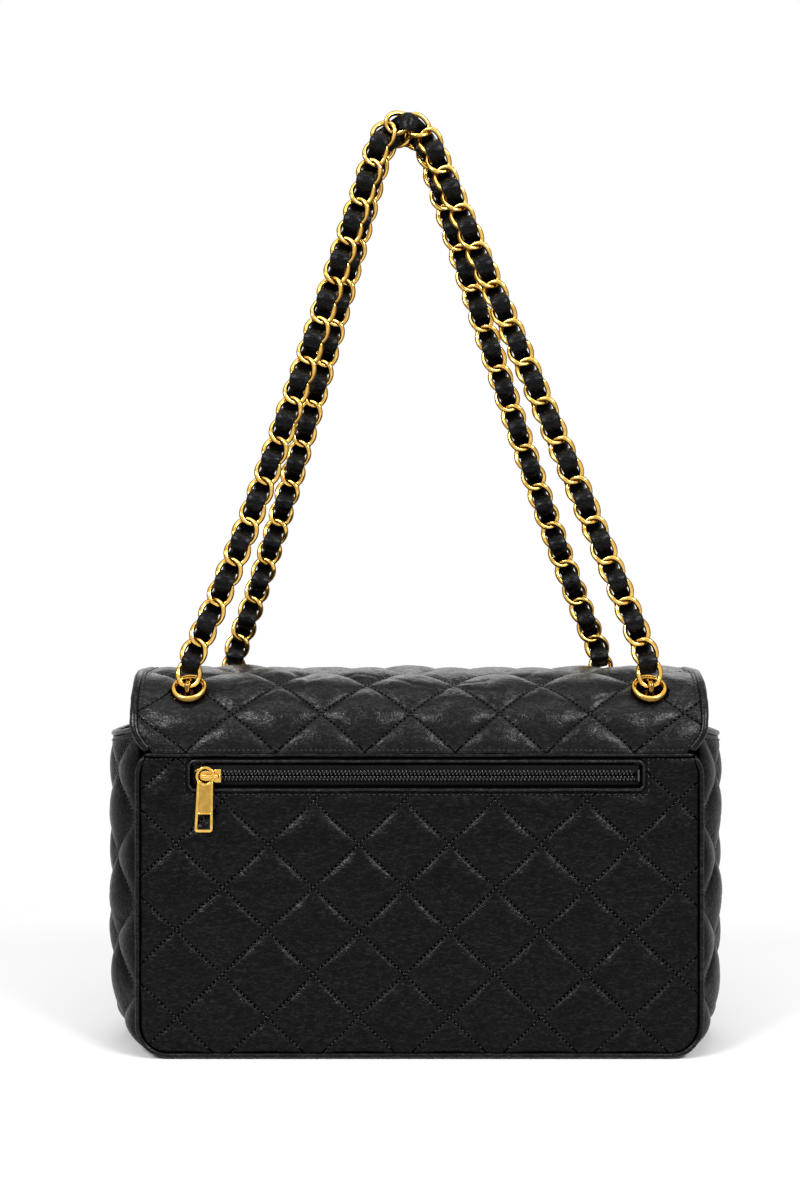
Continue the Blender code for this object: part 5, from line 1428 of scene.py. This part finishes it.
def cut_plate(name, outline, face, back, ease, material, body):
    """A plate drawn in X and Z, anticlockwise as seen from the back, between two depths."""
    count = len(outline)
    points = [(x, y, z) for y in (face, back) for x, z in outline]
    after = [(n + 1) % count for n in range(count)]
    faces = [tuple(range(count)), tuple(range(2 * count - 1, count - 1, -1))]
    faces += [(n, count + n, count + m, m) for n, m in enumerate(after)]
    mesh = bpy.data.meshes.new(name)
    mesh.from_pydata(points, [], faces)
    mesh.polygons.foreach_set("use_smooth", np.full(len(mesh.polygons), True))
    made = bpy.data.objects.new(name, mesh)
    scene.collection.objects.link(made)
    rounding(made, ease, 3)
    dress(made, material, body, "gold_metal")


def mirrored(outline, middle):
    """An outline's upper half from right to left, closed by its mirror image below."""
    upper = [(x, middle + z) for x, z in outline]
    return upper + [(x, middle - z) for x, z in reversed(outline)]


staple = np.array([(-0.1126, -0.0494, 0.1429), (-0.1121, -0.0503, 0.1441), (-0.1104, -0.0506, 0.1451)])
staple_bar = swept_bar(staple, (0, -0.6, 0.8), 0.0003, 0.00035)
joined("zip_stop_left_crimp", [staple_bar], "bag", "zip_stop_left")

slider_low, slider_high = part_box("zip_slider")
plate_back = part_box("zip_coil_upper")[0].y - SLIDER_CLEAR
plate_face = plate_back - SLIDER_PLATE
outline = [
    (slider_high.x, 0.0030),
    (slider_high.x - 0.0004, 0.0033),
    (slider_high.x - 0.0028, 0.0033),
    (slider_high.x - 0.0042, 0.0024),
    (slider_low.x + 0.0050, 0.0026),
    (slider_low.x + 0.0030, 0.0021),
    (slider_low.x + 0.0022, 0.0013),
]
plate = mirrored(outline, zip_z)
cut_plate("zip_slider_face", plate, plate_face, plate_back, 0.00035, gold, "zip_slider")
plate = mirrored([(x, z * 0.97) for x, z in outline], zip_z)
cut_plate("zip_slider_rear", plate, *SLIDER_REAR, 0.0003, gold, "zip_slider")
reach = np.linspace(0, math.pi, 15)
arch_x = (BRIDGE_LEFT + BRIDGE_RIGHT) / 2 - np.cos(reach) * (BRIDGE_RIGHT - BRIDGE_LEFT) / 2
bridge_foot, bridge_crest = plate_face + BRIDGE_SINK, slider_low.y + BRIDGE_RISE
arch_y = bridge_foot + (bridge_crest - bridge_foot) * np.sin(reach) ** 0.35
arch = xyz(arch_x, arch_y, zip_z)


def level_ring(middle_x, depth, middle_z, radius, count):
    """A circle of points at a depth."""
    turn = full_turn(count)
    return xyz(middle_x + radius * np.cos(turn), depth, middle_z + radius * np.sin(turn))


knob = level_ring(BRIDGE_RIGHT, plate_face - KNOB_RISE, zip_z, KNOB_RADIUS, 16)
neck_x = np.linspace(slider_low.x + NECK_LEFT, slider_low.x + NECK_RIGHT, 4)
neck = xyz(neck_x, NECK_DEPTH, zip_z)
bridge = [
    swept_bar(arch, (0, 0, 1), BRIDGE_HALF_WIDTH, BRIDGE_HALF_DEPTH),
    swept_bar(knob, (0, 1, 0), KNOB_WIRE, KNOB_WIRE, closed=True),
    swept_bar(neck, (0, 0, 1), NECK_HALF_WIDTH, NECK_HALF_DEPTH),
]
joined("zip_slider_bridge", bridge, "zip_slider", "zip_slider")

pull_low, pull_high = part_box("zip_pull")
eye_x, eye_z = (pull_low.x + pull_high.x) / 2, zip_z
pull_y = (pull_low.y + pull_high.y) / 2
foot_z = pull_low.z + PULL_SIDE


def leaned(points):
    """The pull's points, leaned a little to the left towards its foot."""
    share = np.clip((eye_z - points[:, 2]) / (eye_z - foot_z), 0, 1)
    return points - xyz(PULL_TILT * share, 0, 0)


corner = np.linspace(0, math.pi / 2, 6)
side_z = np.linspace(eye_z - 0.0030, foot_z + PULL_BEND, 12)
side_x = PULL_TOP_HALF + PULL_FLARE * (side_z[0] - side_z) / (side_z[0] - side_z[-1])
bend_x = side_x[-1] - PULL_BEND * (1 - np.cos(corner[1:]))
bend_z = side_z[-1] - PULL_BEND * np.sin(corner[1:])
right_x, right_z = np.r_[side_x, bend_x], np.r_[side_z, bend_z]
u_x, u_z = np.r_[right_x, -right_x[::-1]], np.r_[right_z, right_z[::-1]]
u_line = leaned(xyz(eye_x + u_x, pull_y, u_z))
bar_x = eye_x + np.linspace(-CROSS_BAR_HALF, CROSS_BAR_HALF, 6)
bar_line = leaned(xyz(bar_x, pull_y, CROSS_BAR_Z))
eye_ring = level_ring(eye_x, pull_y, eye_z, EYE_RADIUS, 40)
pull = [
    swept_bar(eye_ring, (0, 1, 0), PULL_DEPTH, PULL_WIRE, closed=True),
    swept_bar(u_line, (0, 1, 0), PULL_DEPTH, PULL_SIDE),
    swept_bar(bar_line, (0, 1, 0), PULL_DEPTH, CROSS_BAR_WIRE),
]
joined("zip_pull_frame", pull, "zip_pull", "zip_pull")
recess_top = eye_z - EYE_RADIUS
recess = [(-RECESS_HALF_FOOT, RECESS_FOOT), (RECESS_HALF_FOOT, RECESS_FOOT)]
recess += [(RECESS_HALF_TOP, recess_top), (-RECESS_HALF_TOP, recess_top)]
recess = leaned(np.array([(eye_x + x, 0, z) for x, z in recess]))[:, ::2].tolist()
# Painted shade: the recess's gold is darkened to two thirds of the polished gold's colour.
brushed_gold = polished_gold("brushed_gold", rough=0.24, brushed=0.30, depth=0.66)
face, back = pull_y - PULL_DEPTH * 0.35, pull_y + PULL_DEPTH * 0.7
cut_plate("zip_pull_recess", recess, face, back, 0.00012, brushed_gold, "zip_pull")

# The flap's binding: a strip of leather rolled over its raw edges, from the seam at the
# back over the crown and round the front's corners, and held by the row of edge stitches.
BINDING_PROFILE = np.array(
    [(-0.0012, -0.0012), (-0.0010, -0.0002), (-0.0004, 0.0005), (0.0005, 0.0008), (0.0015, 0.0008)]
    + [(0.0024, 0.0003), (0.0030, -0.0006), (0.0031, -0.0016), (0.0028, -0.0027), (0.0020, -0.0035)]
    + [(0.0008, -0.0037), (-0.0008, -0.0036), (-0.0012, -0.0028), (-0.0013, -0.0020)]
)

side_t = np.arange(0.0012, flap_length - FLAP_CORNER, 0.0016)
corner = np.linspace(0, math.pi / 2, 28)
round_x = FLAP_HALF_WIDTH - FLAP_CORNER * (1 - np.cos(corner))
round_t = flap_length - FLAP_CORNER + FLAP_CORNER * np.sin(corner)
foot_x = np.arange(FLAP_HALF_WIDTH - FLAP_CORNER - 0.002, 0.001, -0.002)
edge_x = np.r_[flap_width(side_t), round_x, foot_x]
edge_t = np.r_[side_t, round_t, np.full(len(foot_x), flap_length)]
half_edge = np.column_stack([edge_x, edge_t])
edge = np.vstack([half_edge, half_edge[::-1] * [-1, 1]])
way = unit(np.gradient(edge, axis=0))
way = np.column_stack([way[:, 1], -way[:, 0]])
ahead, behind = edge + 0.0003 * way, edge - 0.0003 * way
edge_out = unit(flap_shape(*ahead.T) - flap_shape(*behind.T))
face_out = outward(flap_shape, *edge.T)
lengths = run_lengths(edge)
swell = 1 + 0.10 * drift(lengths, 0 * lengths, 0.012, 151)
swell += 0.06 * drift(lengths, 0 * lengths, 0.003, 152)
points = (
    flap_shape(*edge.T)[:, None]
    + edge_out[:, None] * (BINDING_PROFILE[None, :, 0] * swell[:, None])[..., None]
    + face_out[:, None] * BINDING_PROFILE[None, :, 1, None]
)
binding = solid_from("flap_binding", points, tube(len(edge), len(BINDING_PROFILE)))
nodes = "crown_binding_left", "crown_binding_right", "flap_front_binding"
dress(binding, trim_leather, None, "black_leather", *nodes)
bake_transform(binding)

# The lining: thin black twill, cut to each wall and caught in the seams with the leather,
# with a flat slip pocket on the front and the zip pocket's two plies behind the back.
LINING_GRID = 0.0025
LINING_WALL = 0.0006
LINING_INSET = 0.0042
LINING_DROP = 0.0009
SIDE_LINING_LENGTH = 0.17
POCKET_CORNER = 0.012
FLAP_LINING_DEPTH = 0.0036
FLAP_LINING_START, FLAP_LINING_GRID = 0.0006, 0.0016
lining_twill = woven_cloth("lining_twill", (0.006, 0.006, 0.007), (0.026, 0.025, 0.028), 0.0005, 0.62)


def lining_ply(name, shape, grid, body, nodes, keep=None, seed=161):
    """A ply of lining on its shape, with slack swells and faint folds."""

    def slack(x, z):
        """Broad swells with faint upright folds."""
        return 0.00025 * drift(x, z, 0.03, seed) + 0.0001 * drift(x, z, (0.006, 0.03), seed + 1)

    ply = leather_skin(name, shape, slack, *grid, LINING_WALL, keep)
    dress(ply, lining_twill, body, "lining_cloth", *nodes)
    return ply


def flat_wall(depth, inwards):
    """An upright plane at a depth, drawn from right to left where it faces forwards."""

    def shape(across, along):
        return xyz(-inwards * across, depth, along)

    return shape


WALLS = (
    ("lining_back", 1, "high", PANEL_CORNER, "back_quilting"),
    ("lining_front", -1, "low", PANEL_CORNER, "front_quilting"),
    ("inner_slip_pocket", -1, "low", POCKET_CORNER, "lining_front_ply"),
    ("zip_pouch_front", -1, "low", POCKET_CORNER, "zip_frame_lip"),
    ("zip_pouch_back", 1, "high", POCKET_CORNER, "back_quilting"),
)
for number, (node, inwards, face, corner, holder) in enumerate(WALLS):
    low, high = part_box(node)
    wall = flat_wall(high.y if face == "high" else low.y, inwards)
    grid = footed_grid(high.x, low.z, (high.z,), corner, 10, LINING_GRID)[:2]
    flat = (2 * high.x, high.z - low.z)
    lining_ply(f"{node}_ply", wall, grid, "bag", [node], seed=163 + 2 * number)

low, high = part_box("lining_base")
grid = np.meshgrid(steps(low.x, high.x, pitch=LINING_GRID), steps(low.y, high.y, pitch=LINING_GRID))


def base_shape(across, along, height=high.z):
    """The level top of the bag's floor."""
    return xyz(across, along, height)


flat = (2 * high.x, 2 * high.y)
lining_ply("lining_base_ply", base_shape, grid, "bag", ["lining_base"])


def side_lining(side, bulge):
    """A gusset's inner face, moved in from its outer one and drawn so that it faces in."""

    def shape(across, along):
        share = across / GUSSET_HALF_DEPTH
        push = bulge * (1 - share**2) * (1 - np.exp(-along / GUSSET_SETTLE))
        turn = np.clip(along / GUSSET_CORNER, 0, math.pi / 2)
        radius = GUSSET_CORNER - LINING_INSET
        x = GUSSET_SIDE - GUSSET_CORNER + (radius + push) * np.sin(turn)
        z = GUSSET_CORNER - radius * np.cos(turn) + np.maximum(along - corner_run, 0)
        return xyz(side * x, -side * across, z)

    return shape


for name, side in (("left", -1), ("right", 1)):
    node = f"lining_{name}"
    low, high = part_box(node)
    shares = np.linspace(0, 1, round(SIDE_LINING_LENGTH / LINING_GRID))
    across, share = np.meshgrid(steps(low.y, high.y, pitch=LINING_GRID), shares)
    along = share * (gusset_top(across) - LINING_DROP)
    shape = side_lining(side, BULGES[name] - LINING_WALL)
    flat = (2 * high.y, SIDE_LINING_LENGTH)
    holder = f"gusset_{name}_quilting"
    lining_ply(f"{node}_ply", shape, (across, along), "bag", [node], seed=181 + side)


def flap_inside(across, along):
    """The flap's shape, moved in to its lining and drawn so that it faces in."""
    return flap_shape(-across, along) - outward(flap_shape, -across, along) * FLAP_LINING_DEPTH


*grid, kept = flap_grid(FLAP_LINING_START, FLAP_LINING_GRID)
nodes, flat = ("crown_lining", "flap_front_lining"), (2 * FLAP_HALF_WIDTH, flap_length)
holder = "flap_quilting"
flap_ply = lining_ply("flap_lining_ply", flap_inside, grid, None, nodes, kept, 191)
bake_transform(flap_ply)

# The facing at the mouth: a strip of leather inside the bag, sewn over the joint between
# the back's lining and the flap's. It keeps the joint closed.
FACING_DEPTH = -0.0450
FACING_WALL = 0.0006
FACING_LOW, FACING_HIGH = 0.1462, 0.1586
facing_half = FLAP_HALF_WIDTH - SEAM_DRAW


def facing_relief(across, along):
    """Faint swells, longer across the strip than along it."""
    return 0.0001 * drift(across, along, (0.009, 0.004), 197)


rows = steps(FACING_LOW, FACING_HIGH, pitch=0.0008)
grid = np.meshgrid(steps(-facing_half, facing_half, pitch=0.002), rows)
wall = flat_wall(FACING_DEPTH, 1)
facing = leather_skin("flap_root_facing", wall, facing_relief, *grid, FACING_WALL)
dress(facing, trim_leather, None, "black_leather")
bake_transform(facing)

# The base: a leather panel turned up into the side seams, over a stiff board of grey
# fibre that keeps the bag's floor flat.
BASE_FACE = 0.0003
BASE_GRID = 0.002
BASE_WALL = 0.0018
BASE_UNEVEN = 0.00025
low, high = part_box("base_panel")
grid = np.meshgrid(steps(low.x, high.x, pitch=BASE_GRID), steps(low.y, high.y, pitch=BASE_GRID))


def base_under(across, along):
    """The level underside, drawn from right to left so that it faces down."""
    return xyz(-across, along, BASE_FACE)


def base_relief(across, along):
    """Broad dents inwards, with fine swells."""
    dents = BASE_UNEVEN * (0.5 + 0.5 * drift(across, along, 0.02, 201))
    return -dents - 0.00005 * drift(across, along, 0.003, 202)


base = leather_skin("base_leather", base_under, base_relief, *grid, BASE_WALL)
dress(base, trim_leather, "bag", "black_leather", "base_panel")

board = Recipe(bpy.data.materials.new("grey_fibre_board"))
fleck = board.noise(board.place(), 700.0, 4.0)
tint = board.ramp(fleck, 0.0, (0.10, 0.09, 0.08), 1.0, (0.20, 0.185, 0.165))
board.set(base_color=tint, normal=board.bump(0.3, 0.0002, fleck), roughness=0.85)
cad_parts["base_board"].data.materials.clear()
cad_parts["base_board"].data.materials.append(board.holder)

# The turn lock: a plate, bush and turn button pressed through the front panel onto a
# washer, and a slotted rim on the flap that drops over them. All are gold-plated brass.
eased("lock_base_plate", 0.0004, gold, "bag")
eased("lock_washer", 0.0002, gold, "bag")
eased("lock_turn_button", 0.0005, gold, "lock_button")
eased("lock_escutcheon", 0.0003, gold, "flap_front")
for place in ("rear_washer_left", "rear_washer_right", "front_washer_left", "front_washer_right"):
    eased(place, 0.0002, gold, "flap_crown")
